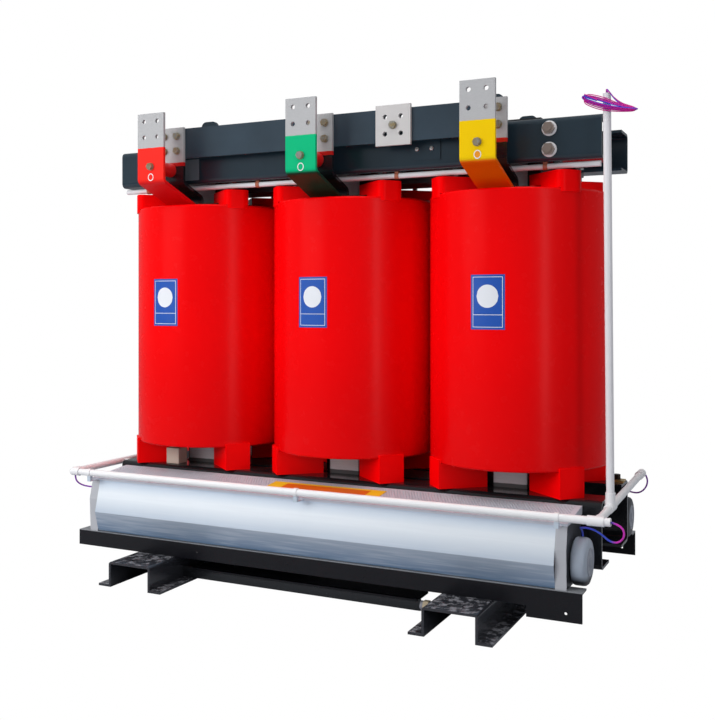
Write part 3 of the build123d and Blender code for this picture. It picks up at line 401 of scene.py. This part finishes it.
coil_brown = finish("coil_brown", (0.05, 0.018, 0.012), 0.45, scale=120, tint=0.3, bump=0.3, shape=foil_tone)
paint_nodes(coil_brown, "lv_coil_a", "lv_coil_b", "lv_coil_c")
spacer_beige = finish("spacer_beige", (0.52, 0.42, 0.35), 0.5, scale=90, tint=0.3, bump=0.3)
clamp_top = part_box("lower_clamp_front")[1].z
plate("coil_spacer", (-0.628, -0.166, clamp_top), (-0.578, -0.118, clamp_top + 0.052), 2 * mm, spacer_beige)


# Coil plates: plain blue films with a thin white border and a white disc,
# wrapped on the front of each coil.
label_blue = finish("label_blue", (0.012, 0.085, 0.42), 0.30, coat=0.3, scale=300, tint=0.05, bump=0.05)
label_white = finish("label_white", (0.78, 0.80, 0.84), 0.34, scale=300, tint=0.05, bump=0.05)


def wrapped_film(name, coil, strips, lift, material):
    """Wrap strips on a coil's front; each strip is (from, to, low, high) with heights as functions."""
    low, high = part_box(coil)
    axis_x, radius = (low.x + high.x) / 2, -low.y + lift
    form = bmesh.new()
    for start, end, bottom, top in strips:
        steps = max(2, int(abs(end - start) / (3 * mm)))
        before = None
        for index in range(steps + 1):
            across = start + (end - start) * index / steps
            turn = across / radius
            pair = [form.verts.new((axis_x + radius * math.sin(turn), -radius * math.cos(turn), z))
                    for z in (bottom(across), top(across))]
            if before:
                form.faces.new((before[0], pair[0], pair[1], before[1]))
            before = pair
    return add_piece(name, mesh_from(form, name, smooth=True), material)


def level(z):
    """Give a height that stays the same across a strip."""
    return lambda across: z


plate_half = 50 * mm
plate_low, plate_high = 783 * mm, 935 * mm
for letter, shift in (("a", -22 * mm), ("b", -20 * mm), ("c", -12 * mm)):
    coil = f"hv_coil_{letter}"
    left, right = shift - plate_half, shift + plate_half
    border, line = 6 * mm, 1.6 * mm
    inner_left, inner_right = left + border, right - border
    inner_low, inner_high = plate_low + border, plate_high - border
    band_high = plate_low + 40 * mm
    disc_z, disc_r = plate_high - 60 * mm, 32 * mm

    def disc_reach(across, centre=shift, radius=disc_r):
        return math.sqrt(max(0.0, radius ** 2 - (across - centre) ** 2))

    wrapped_film(f"coil_plate_{letter}", coil, [(left, right, level(plate_low), level(plate_high))],
                 0.3 * mm, label_blue)
    wrapped_film(f"coil_plate_lines_{letter}", coil, [
        (inner_left, inner_left + line, level(inner_low), level(inner_high)),
        (inner_right - line, inner_right, level(inner_low), level(inner_high)),
        (inner_left, inner_right, level(inner_low), level(inner_low + line)),
        (inner_left, inner_right, level(inner_high - line), level(inner_high)),
        (inner_left, inner_right, level(band_high), level(band_high + line)),
        (shift - disc_r, shift + disc_r, lambda across: disc_z - disc_reach(across),
         lambda across: disc_z + disc_reach(across)),
    ], 0.6 * mm, label_white)


# Busbars: bent copper bars, tinned at the top where cables bolt on and painted
# below in the colour of the phase, with painted shade on the slant under the
# clamp. A white ring marks each bar under its bolt.
tinned = (0.45, 0.45, 0.455)
phase_paint_and_shade = {"a": ((0.93, 0.020, 0.012), (0.72, 0.004, 0.006)),
                "b": ((0.0, 0.46, 0.19), (0.006, 0.035, 0.018)),
                "c": ((0.88, 0.57, 0.0), (0.78, 0.11, 0.0))}
tin_line = 1.346
riser_tin_line = 1.312
bend_low, bend_high = 1.236, 1.243
stripe_tall = 12 * mm
ring_z = 1.2535


def tinned_top(limit, shaded=None, stripe=None):
    """Return a shape that leaves a bar tinned above limit."""
    def shape(tree, color):
        *_, z = coordinates(tree)
        lower = color
        # Below the bend the phase colour gives way to its painted shade.
        if shaded:
            lower = mix_colors(tree, ramp(tree, z, bend_low, bend_high), shaded, color)
        if stripe:
            lower = mix_colors(tree, above(tree, z, limit - stripe_tall), lower, stripe)
        grain = stretched_noise(tree, (30.0, 30.0, 300.0))
        tin = mix_colors(tree, grain, [part * 0.88 for part in tinned], [part * 1.12 for part in tinned])
        return mix_colors(tree, above(tree, z, limit), lower, tin)
    return shape


for letter, (paint, shade) in phase_paint_and_shade.items():
    bar_paint = finish(f"bar_paint_{letter}", paint, 0.36, scale=180, tint=0.06, bump=0.2, specular=0.15,
                       shape=tinned_top(tin_line, shade))
    paint_nodes(bar_paint, f"phase_bar_{letter}")
riser_paint = finish("riser_paint", (0.010, 0.011, 0.014), 0.22, coat=0.4, scale=60, tint=0.3, bump=0.2,
                     shape=tinned_top(riser_tin_line, None, (0.55, 0.01, 0.01)))
# The neutral bus is black; its colour is lifted to a blue grey as a painted reflection.
bus_sheen_black = finish("bus_sheen_black", (0.024, 0.042, 0.060), 0.20, coat=0.5, scale=14, tint=0.9, bump=0.25)
tin_plate = finish("tin_plate", (0.58, 0.56, 0.55), 0.40, metallic=0.1, scale=200, tint=0.14, bump=0.15)
paint_nodes(riser_paint, "neutral_riser_a", "neutral_riser_b", "neutral_riser_c")
paint_nodes(bus_sheen_black, "neutral_bus")
paint_nodes(tin_plate, "neutral_terminal")
paint_nodes(finish("post_red", (0.62, 0.01, 0.01), 0.35, coat=0.2, tint=0.2, bump=0.2), "insulators")


def flat_ring(name, centre, inner, outer, stretch, lift, material):
    """Make a flat oval ring on a face that looks towards -Y."""
    form = bmesh.new()
    rims = []
    for radius in (inner, outer):
        rims.append([form.verts.new((centre.x + radius * math.cos(math.radians(9 * step)), centre.y - lift,
                                     centre.z + stretch * radius * math.sin(math.radians(9 * step))))
                     for step in range(40)])
    for step in range(40):
        after = (step + 1) % 40
        form.faces.new((rims[0][step], rims[0][after], rims[1][after], rims[1][step]))
    if inner == 0:
        bmesh.ops.remove_doubles(form, verts=form.verts, dist=1e-5)
    return add_piece(name, mesh_from(form, name), material)


ring_white = finish("ring_white", (0.80, 0.80, 0.80), 0.4, tint=0.05)
ring_orange = finish("ring_orange", (0.85, 0.30, 0.01), 0.4, tint=0.05)
for letter in "abc":
    low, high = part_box(f"phase_bar_{letter}")
    front = Vector(((low.x + high.x) / 2 + 1 * mm, low.y, ring_z))
    flat_ring(f"bar_ring_{letter}", front, 8 * mm, 10.5 * mm, 1.15, 0.4 * mm, ring_white)
    if letter == "c":
        flat_ring(f"bar_dot_{letter}", front, 0, 8 * mm, 1.15, 0.3 * mm, ring_orange)


# Fasteners: zinc plated steel bolts, with a warm tint on those of the busbars.
# Wide pale washers lie under the nuts of the upper clamp studs.
def bolt_tone(tree, color):
    """Tarnish the zinc to yellow in blotches."""
    place, *_ = coordinates(tree)
    blotches = add_node(tree, "ShaderNodeTexNoise", {"Vector": place, "Scale": 90.0}).outputs[0]
    return mix_colors(tree, ramp(tree, blotches, 0.35, 0.65), color, (0.55, 0.42, 0.22))


zinc = finish("zinc", (0.66, 0.65, 0.63), 0.26, metallic=0.9, scale=300, tint=0.3, bump=0.2)
warm_zinc = finish("warm_zinc", (0.50, 0.50, 0.46), 0.30, metallic=0.8, scale=300, tint=0.3, bump=0.2,
                   shape=bolt_tone)
nut_zinc = finish("nut_zinc", (0.34, 0.27, 0.23), 0.30, metallic=0.5, scale=300, tint=0.3, bump=0.2)
paint_nodes(nut_zinc, "clamp_studs")
paint_nodes(zinc, "jack_bolts")
paint_nodes(warm_zinc, "busbar_bolts")


def turned(name, profile, foot, axis, material, steps=40):
    """Spin a profile round an axis through foot."""
    form = bmesh.new()
    last = None
    corners = []
    for radius, along in profile:
        corners.append(form.verts.new((radius, 0, along)))
        if last:
            form.edges.new((last, corners[-1]))
        last = corners[-1]
    bmesh.ops.spin(form, geom=form.verts[:] + form.edges[:], axis=(0, 0, 1), cent=(0, 0, 0),
                   angle=math.tau, steps=steps, use_merge=True)
    bmesh.ops.remove_doubles(form, verts=form.verts, dist=1e-6)
    turn = Vector((0, 0, 1)).rotation_difference(Vector(axis)).to_matrix().to_4x4()
    bmesh.ops.transform(form, matrix=Matrix.Translation(foot) @ turn, verts=form.verts)
    return add_piece(name, mesh_from(form, name, smooth=True), material)


def pan_head(name, foot, radius, material):
    """Make a low domed screw head that looks towards -Y."""
    profile = [(radius, 0), (radius * 0.97, radius * 0.25), (radius * 0.75, radius * 0.5),
               (radius * 0.35, radius * 0.62), (0, radius * 0.65)]
    return turned(name, profile, foot, (0, -1, 0), material, steps=24)


for index, x in enumerate((0.290, 0.336)):
    pan_head(f"bracket_screw_{index + 1}", Vector((x, clamp_face - 3 * mm, 1.306)), 6.5 * mm, zinc)
washer_zinc = finish("washer_zinc", (0.86, 0.85, 0.86), 0.4, metallic=0.1, scale=300, tint=0.2, bump=0.1)
stud_low, stud_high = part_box("clamp_studs")
stud_r = 17 * mm
upper_stud_heights = (1.279, 1.337)
for index, x in enumerate((stud_low.x + stud_r, stud_high.x - stud_r)):
    for row, z in enumerate(upper_stud_heights):
        for side in (-1, 1):
            turned(f"stud_washer_{index}_{row}_{'front' if side < 0 else 'rear'}",
                   [(18 * mm, 0), (21 * mm, 0), (21 * mm, 2.6 * mm), (20 * mm, 3.4 * mm), (15 * mm, 3.4 * mm)],
                   Vector((x, -side * clamp_face, z)), (0, side, 0), washer_zinc)


# Tie plates: brushed stainless strips on the core's legs, with painted shade where
# they run down behind the clamp.
def brushed_and_shaded(tree, color, clamp_z=0.331):
    """Brush the steel across, and paint shade on it below the clamp's top."""
    *_, z = coordinates(tree)
    lines = stretched_noise(tree, (8.0, 8.0, 420.0), Detail=4.0)
    bright = mix_colors(tree, lines, [part * 0.72 for part in color], [part * 1.2 for part in color])
    return mix_colors(tree, above(tree, z, clamp_z), (0.10, 0.10, 0.10), bright)


paint_nodes(finish("brushed_steel", (0.62, 0.58, 0.60), 0.40, metallic=0.3, scale=200, tint=0.1, bump=0.1,
                   shape=brushed_and_shaded), "tie_plates")


# Fans: housings folded from zinc coated sheet, with a painted reflection that grades
# them darker below the fold and lighter above, pale caps with painted shade on their
# end faces, a perforated silver cover that leans up to the clamp, and a turned blue
# grey motor with painted shade on its underside. The rear motor is painted dark all
# over as shade.
fold_z = 0.187


def housing_reflection_tone(tree, color):
    """Paint a reflection on the sheet, graded below and above the fold, with long pale streaks."""
    *_, z = coordinates(tree)
    lower = mix_colors(tree, ramp(tree, z, 0.125, fold_z), (0.13, 0.21, 0.33), (0.36, 0.42, 0.50))
    upper = mix_colors(tree, ramp(tree, z, fold_z, 0.235), (0.52, 0.60, 0.70), color)
    upper = mix_colors(tree, ramp(tree, z, 0.250, 0.285), upper, (0.52, 0.62, 0.74))
    streaks = stretched_noise(tree, (1.4, 30.0, 30.0))
    tone = mix_colors(tree, ramp(tree, z, fold_z - 1 * mm, fold_z + 1 * mm), lower, upper)
    return mix_colors(tree, math_node(tree, "MULTIPLY", ramp(tree, streaks, 0.45, 0.75), 0.25), tone,
                      (0.75, 0.80, 0.86))


def cap_end_shade(tree, color):
    """Darken the cap's end faces as painted shade."""
    side = normal_parts(tree)[0]
    facing = ramp(tree, math_node(tree, "ABSOLUTE", side), 0.7, 0.9)
    return mix_colors(tree, facing, color, (0.035, 0.038, 0.045))


def motor_shade_under(tree, color, motor_shade_z=0.140, motor_lit_z=0.158):
    """Paint shade on the underside of the motor."""
    *_, z = coordinates(tree)
    return mix_colors(tree, ramp(tree, z, motor_shade_z, motor_lit_z), (0.012, 0.013, 0.016), color)


housing_sheet = finish("housing_sheet", (0.86, 0.92, 0.97), 0.34, metallic=0.25, coat=0.2, scale=30, tint=0.03,
                       bump=0.06, shape=housing_reflection_tone)
cap_paint = finish("cap_paint", (0.44, 0.45, 0.48), 0.35, coat=0.1, scale=160, tint=0.1, bump=0.15,
                   shape=cap_end_shade)
cover_metal = finish("cover_metal", (0.60, 0.63, 0.70), 0.42, metallic=0.15, scale=220, tint=0.08, bump=0.1,
                     specular=0.3)
rotor_metal = finish("rotor_metal", (0.45, 0.46, 0.48), 0.40, metallic=0.8, scale=200, tint=0.2, bump=0.2)
motor_paint = finish("motor_paint", (0.33, 0.38, 0.45), 0.36, coat=0.15, scale=130, tint=0.1, bump=0.2,
                     shape=motor_shade_under)
# The rear motor is the same blue grey motor, painted near black as shade.
rear_motor_shaded = finish("rear_motor_shaded", (0.030, 0.034, 0.040), 0.40, scale=130, tint=0.1, bump=0.2)
for side in ("front", "rear"):
    paint_nodes(housing_sheet, f"fan_{side}_housing")
    paint_nodes(cap_paint, f"fan_{side}_caps")
    paint_nodes(cover_metal, f"fan_{side}_grille")
    paint_nodes(rotor_metal, f"fan_{side}_rotor")
    paint_nodes(motor_paint, f"fan_{side}_motor")


def perforated_sheet(low, high, margin, pitch, hole_r, thick, lip):
    """Build a shallow tray whose top is rows of square cells, each with an eight sided hole."""
    form = bmesh.new()
    low_x, high_x = low.x + margin, high.x - margin
    rows = int((high.y - low.y - 2 * margin) / pitch)
    row_low = (low.y + high.y) / 2 - rows * pitch / 2
    top = high.z + lip
    corners = [(low.x, low.y), (high.x, low.y), (high.x, high.y), (low.x, high.y)]
    for (x0, y0), (x1, y1) in zip(corners, corners[1:] + corners[:1]):
        form.faces.new([form.verts.new(place) for place in
                        ((x0, y0, low.z), (x1, y1, low.z), (x1, y1, top), (x0, y0, top))])

    def quad(x0, y0, x1, y1):
        form.faces.new([form.verts.new((x, y, top)) for x, y in ((x0, y0), (x1, y0), (x1, y1), (x0, y1))])

    quad(low.x, low.y, high.x, row_low)
    quad(low.x, row_low + rows * pitch, high.x, high.y)
    for row in range(rows):
        y = row_low + row * pitch
        start = low_x + (pitch / 2 if row % 2 else 0)
        count = int((high_x - start) / pitch)
        quad(low.x, y, start, y + pitch)
        quad(start + count * pitch, y, high.x, y + pitch)
        for column in range(count):
            centre = Vector((start + (column + 0.5) * pitch, y + pitch / 2, top))
            rim, edge, floor_rim = [], [], []
            for step in range(8):
                turn = math.radians(45 * step)
                reach = pitch / 2 if step % 2 == 0 else pitch / math.sqrt(2)
                way = Vector((math.cos(turn), math.sin(turn), 0))
                rim.append(form.verts.new(centre + way * hole_r))
                edge.append(form.verts.new(centre + way * reach))
                floor_rim.append(form.verts.new(centre + way * hole_r - Vector((0, 0, thick))))
            for step in range(8):
                after = (step + 1) % 8
                form.faces.new((edge[step], edge[after], rim[after], rim[step]))
                form.faces.new((rim[step], rim[after], floor_rim[after], floor_rim[step]))
    return form


cover_lip, cover_rise, cover_reach = 6 * mm, 15 * mm, 17 * mm
for side in ("front", "rear"):
    low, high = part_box(f"fan_{side}_grille")
    reach = Vector((0, cover_reach, 0))
    if side == "front":
        high = high + reach
    else:
        low = low - reach
    form = perforated_sheet(low, high, margin=10 * mm, pitch=9 * mm, hole_r=3.1 * mm, thick=1.5 * mm,
                            lip=cover_lip)
    foot_y, back_y = (low.y, high.y) if side == "front" else (high.y, low.y)
    lean_up(form, foot_y, back_y, cover_rise, low.z + cover_lip / 2)
    cover = add_piece(f"fan_{side}_cover", mesh_from(form, f"fan_{side}_cover"), cover_metal)
    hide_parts(f"fan_{side}_grille")

cover_low, cover_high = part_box("fan_front_grille")
strip_yellow = finish("strip_yellow", (0.88, 0.55, 0.02), 0.4, scale=200, tint=0.12, bump=0.1)
strip_orange = finish("strip_orange", (0.72, 0.13, 0.01), 0.4, scale=60, tint=0.4, bump=0.1)
strip_foot = cover_high.z + cover_lip
cover_lean = (cover_low.y, cover_high.y + cover_reach, cover_rise)
strip_top = strip_foot + 1.2 * mm
plate("cover_strip", (-0.165, -0.330, strip_foot), (0.210, -0.228, strip_top), 0.3 * mm, strip_yellow,
      cover_lean)
plate("cover_strip_middle", (-0.115, -0.318, strip_top - 0.4 * mm), (0.165, -0.242, strip_top + 0.4 * mm),
      0.2 * mm, strip_orange, cover_lean)

fan_axis_z = 184 * mm
motor_shorter, motor_r = 13 * mm, 62 * mm
motor_ring = finish("motor_ring", (0.26, 0.28, 0.33), 0.3, coat=0.2, tint=0.15, bump=0.15)
for side, body_paint in (("front", motor_paint), ("rear", rear_motor_shaded)):
    low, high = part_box(f"fan_{side}_motor")
    foot = Vector((low.x, (low.y + high.y) / 2, fan_axis_z))
    long, radius = high.x - low.x - motor_shorter, motor_r
    profile = [(0, 0), (44 * mm, 0), (44 * mm, 4 * mm), (radius - 5 * mm, 4 * mm),
               (radius - 1.5 * mm, 6 * mm), (radius, 10 * mm), (radius, long - 13 * mm),
               (radius - 1.2 * mm, long - 7 * mm), (radius - 5 * mm, long - 2.5 * mm),
               (radius - 12 * mm, long), (0, long)]
    body = turned(f"fan_{side}_motor_body", profile, foot, (1, 0, 0), body_paint, steps=64)
    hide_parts(f"fan_{side}_motor")
    ring_profile = [(37 * mm, 0), (36 * mm, 2.4 * mm), (33 * mm, 2.4 * mm), (32 * mm, 0.4 * mm),
                    (14 * mm, 0.4 * mm), (13 * mm, 3 * mm), (0, 3.4 * mm)]
    turned(f"fan_{side}_motor_ring", ring_profile, foot + Vector((long, 0, 0)), (1, 0, 0), motor_ring)


# Conduit: white plastic tube, a little greyer on the riser, pushed into moulded
# tees and elbows. The clips of the top tube are orange brown.
def clip_tone(tree, color, foot_z=0.3035, top_tube_z=1.1):
    """Turn the lowest parts blue grey, and brown the clips of the top tube."""
    *_, z = coordinates(tree)
    foot = mix_colors(tree, above(tree, z, foot_z), (0.50, 0.58, 0.66), color)
    return mix_colors(tree, above(tree, z, top_tube_z), foot, (0.42, 0.13, 0.07))


white_tube = finish("white_tube", (0.80, 0.80, 0.81), 0.30, coat=0.2, scale=40, tint=0.10, bump=0.06)
grey_tube = finish("grey_tube", (0.76, 0.75, 0.77), 0.30, coat=0.2, scale=40, tint=0.10, bump=0.06)
paint_nodes(white_tube, "conduit_base")
paint_nodes(grey_tube, "conduit_riser", "conduit_top")
paint_nodes(finish("white_fitting", (0.80, 0.80, 0.81), 0.34, coat=0.1, scale=60, tint=0.10, bump=0.1,
                   shape=clip_tone), "conduit_fittings")


# Fan leads: thin wires that leave the conduit ends and reach the motor glands
# and the left cap. The points are the routes' corners, in metres.
wire_blue = finish("wire_blue", (0.03, 0.05, 0.55), 0.4, scale=200, tint=0.2)
wire_magenta = finish("wire_magenta", (0.62, 0.005, 0.28), 0.4, scale=200, tint=0.3)
wire_purple = finish("wire_purple", (0.22, 0.02, 0.42), 0.4, scale=200, tint=0.3)


def pair_tone(tree, color, blue_x=0.890, red_x=0.906):
    """Turn the blue wire to magenta at the outside of its loop."""
    _, x, _, _ = coordinates(tree)
    return mix_colors(tree, ramp(tree, x, blue_x, red_x), color, (0.55, 0.02, 0.42))


wire_pair = finish("wire_pair", (0.03, 0.06, 0.50), 0.4, scale=200, tint=0.3, shape=pair_tone)


def wire(name, points, diameter, material):
    """Make a smooth wire along control points."""
    curve = bpy.data.curves.new(name, "CURVE")
    curve.dimensions = "3D"
    curve.bevel_depth = diameter / 2
    curve.bevel_resolution = 3
    curve.resolution_u = 8
    spline = curve.splines.new("NURBS")
    spline.points.add(len(points) - 1)
    for point, place in zip(spline.points, points):
        point.co = (*place, 1)
    spline.order_u = 3
    spline.use_endpoint_u = True
    return add_piece(name, curve, material)


lead_points = {
    "lead_front": [(0.890, -0.397, 0.314), (0.908, -0.398, 0.311), (0.923, -0.399, 0.298),
                   (0.922, -0.400, 0.278), (0.906, -0.400, 0.265), (0.886, -0.399, 0.268),
                   (0.868, -0.396, 0.282), (0.848, -0.391, 0.291), (0.826, -0.377, 0.291),
                   (0.808, -0.354, 0.284), (0.799, -0.328, 0.277), (0.797, -0.306, 0.270),
                   (0.798, -0.296, 0.257), (0.798, -0.296, 0.249)],
    "lead_left": [(-0.815, -0.397, 0.3006), (-0.815, -0.396, 0.288), (-0.809, -0.390, 0.276),
                  (-0.798, -0.379, 0.267), (-0.786, -0.369, 0.263), (-0.7752, -0.365, 0.262)],
    "lead_rear": [(0.858, 0.241, 0.334), (0.860, 0.257, 0.333), (0.866, 0.271, 0.323),
                  (0.870, 0.277, 0.305), (0.866, 0.276, 0.287), (0.854, 0.277, 0.272),
                  (0.838, 0.282, 0.264), (0.820, 0.289, 0.264), (0.806, 0.294, 0.266),
                  (0.798, 0.296, 0.259), (0.798, 0.296, 0.249)],
}
for name, material, slot_name in (("lead_front", wire_pair, "wire_blue"),
                                  ("lead_left", wire_purple, "wire_purple"),
                                  ("lead_rear", wire_purple, "wire_purple")):
    lead = wire(f"{name}_wire", lead_points[name], 5 * mm, material)
    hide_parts(name)


# Sensor wires: three thin wires that come out of the riser's top, folded
# together into a flat hank that is tied to the riser and falls to the right.
riser_low, riser_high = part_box("conduit_riser")
hank_low, hank_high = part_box("sensor_hank")
hank_centre = (hank_low + hank_high) / 2 + Vector((10 * mm, 0, 0))
tilt = math.radians(17)
along = Vector((math.cos(tilt), 0, -math.sin(tilt)))
across = Vector((math.sin(tilt), 0, math.cos(tilt)))
outward = Vector((0, -1, 0))
wire_diameter = 2.5 * mm
random.seed(4)


def hank_wire(name, mouth_x, fold_r, turns, material):
    """Run one wire from the riser's mouth through its turns of the hank to a bare tip."""
    mouth = Vector((mouth_x, (riser_low.y + riser_high.y) / 2, riser_high.z))
    back = hank_high.y - 1.6 * mm
    points = [mouth, mouth + Vector((0, -0.001, 0.006)), mouth + Vector((0.001, -0.006, 0.0095)),
              mouth + Vector((0.003, -0.0125, 0.007))]
    half = 66 * mm
    for turn in range(turns):
        reach = half + random.uniform(-5, 5) * mm
        narrow = 1.15 - 0.30 * turn
        level_y = back - turn * (wire_diameter + 0.15 * mm)
        for step in range(16):
            angle = math.radians(78 - 22.5 * step)
            end = math.copysign(1, math.cos(angle))
            share = abs(math.cos(angle))
            run = end * (reach * min(1, share / 0.6) if share < 0.6 else reach + fold_r * (share - 0.6))
            outer_share = max(0.0, (run + 0.3 * half) / (1.3 * half))
            lift = narrow * fold_r * math.sin(angle) * (1.05 - 0.62 * outer_share)
            sag = -6 * mm * (1 - (run / (half + fold_r)) ** 2)
            depth = (wire_diameter + 0.15 * mm) * step / 16
            place = hank_centre + along * run + across * (lift + sag + 3 * mm)
            points.append(Vector((place.x, level_y - depth, place.z)))
    tip = hank_centre + along * (-half - 4 * mm) + across * (fold_r * 0.7)
    points.append(Vector((tip.x, points[-1].y - 1 * mm, tip.z)))
    hank = wire(name, points, wire_diameter, material)
    return hank


outer_wire = hank_wire("sensor_wire_outer", 0.8475, 14.5 * mm, 4, wire_magenta)
middle_wire = hank_wire("sensor_wire_middle", 0.8505, 11.0 * mm, 4, wire_purple)
inner_wire = hank_wire("sensor_wire_inner", 0.8490, 7.6 * mm, 4, wire_blue)
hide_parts("sensor_hank")


# Terminals: turned brass on the rear of the coils and for the earth wire, and the
# red insulated rods that join the coils.
brass = finish("brass", (0.62, 0.42, 0.14), 0.30, metallic=0.9, scale=200, tint=0.2, bump=0.15)
paint_nodes(brass, "hv_terminals")


def earth_tone(tree, color, top_z=0.3255):
    """Darken the top of the terminal."""
    *_, z = coordinates(tree)
    return mix_colors(tree, above(tree, z, top_z), color, (0.05, 0.04, 0.03))


paint_nodes(finish("earth_brass", (0.62, 0.42, 0.14), 0.32, metallic=0.8, tint=0.2, shape=earth_tone),
            "earth_terminal")
paint_nodes(finish("delta_red", (0.55, 0.004, 0.006), 0.3, coat=0.2, tint=0.1, bump=0.15), "delta_rods")
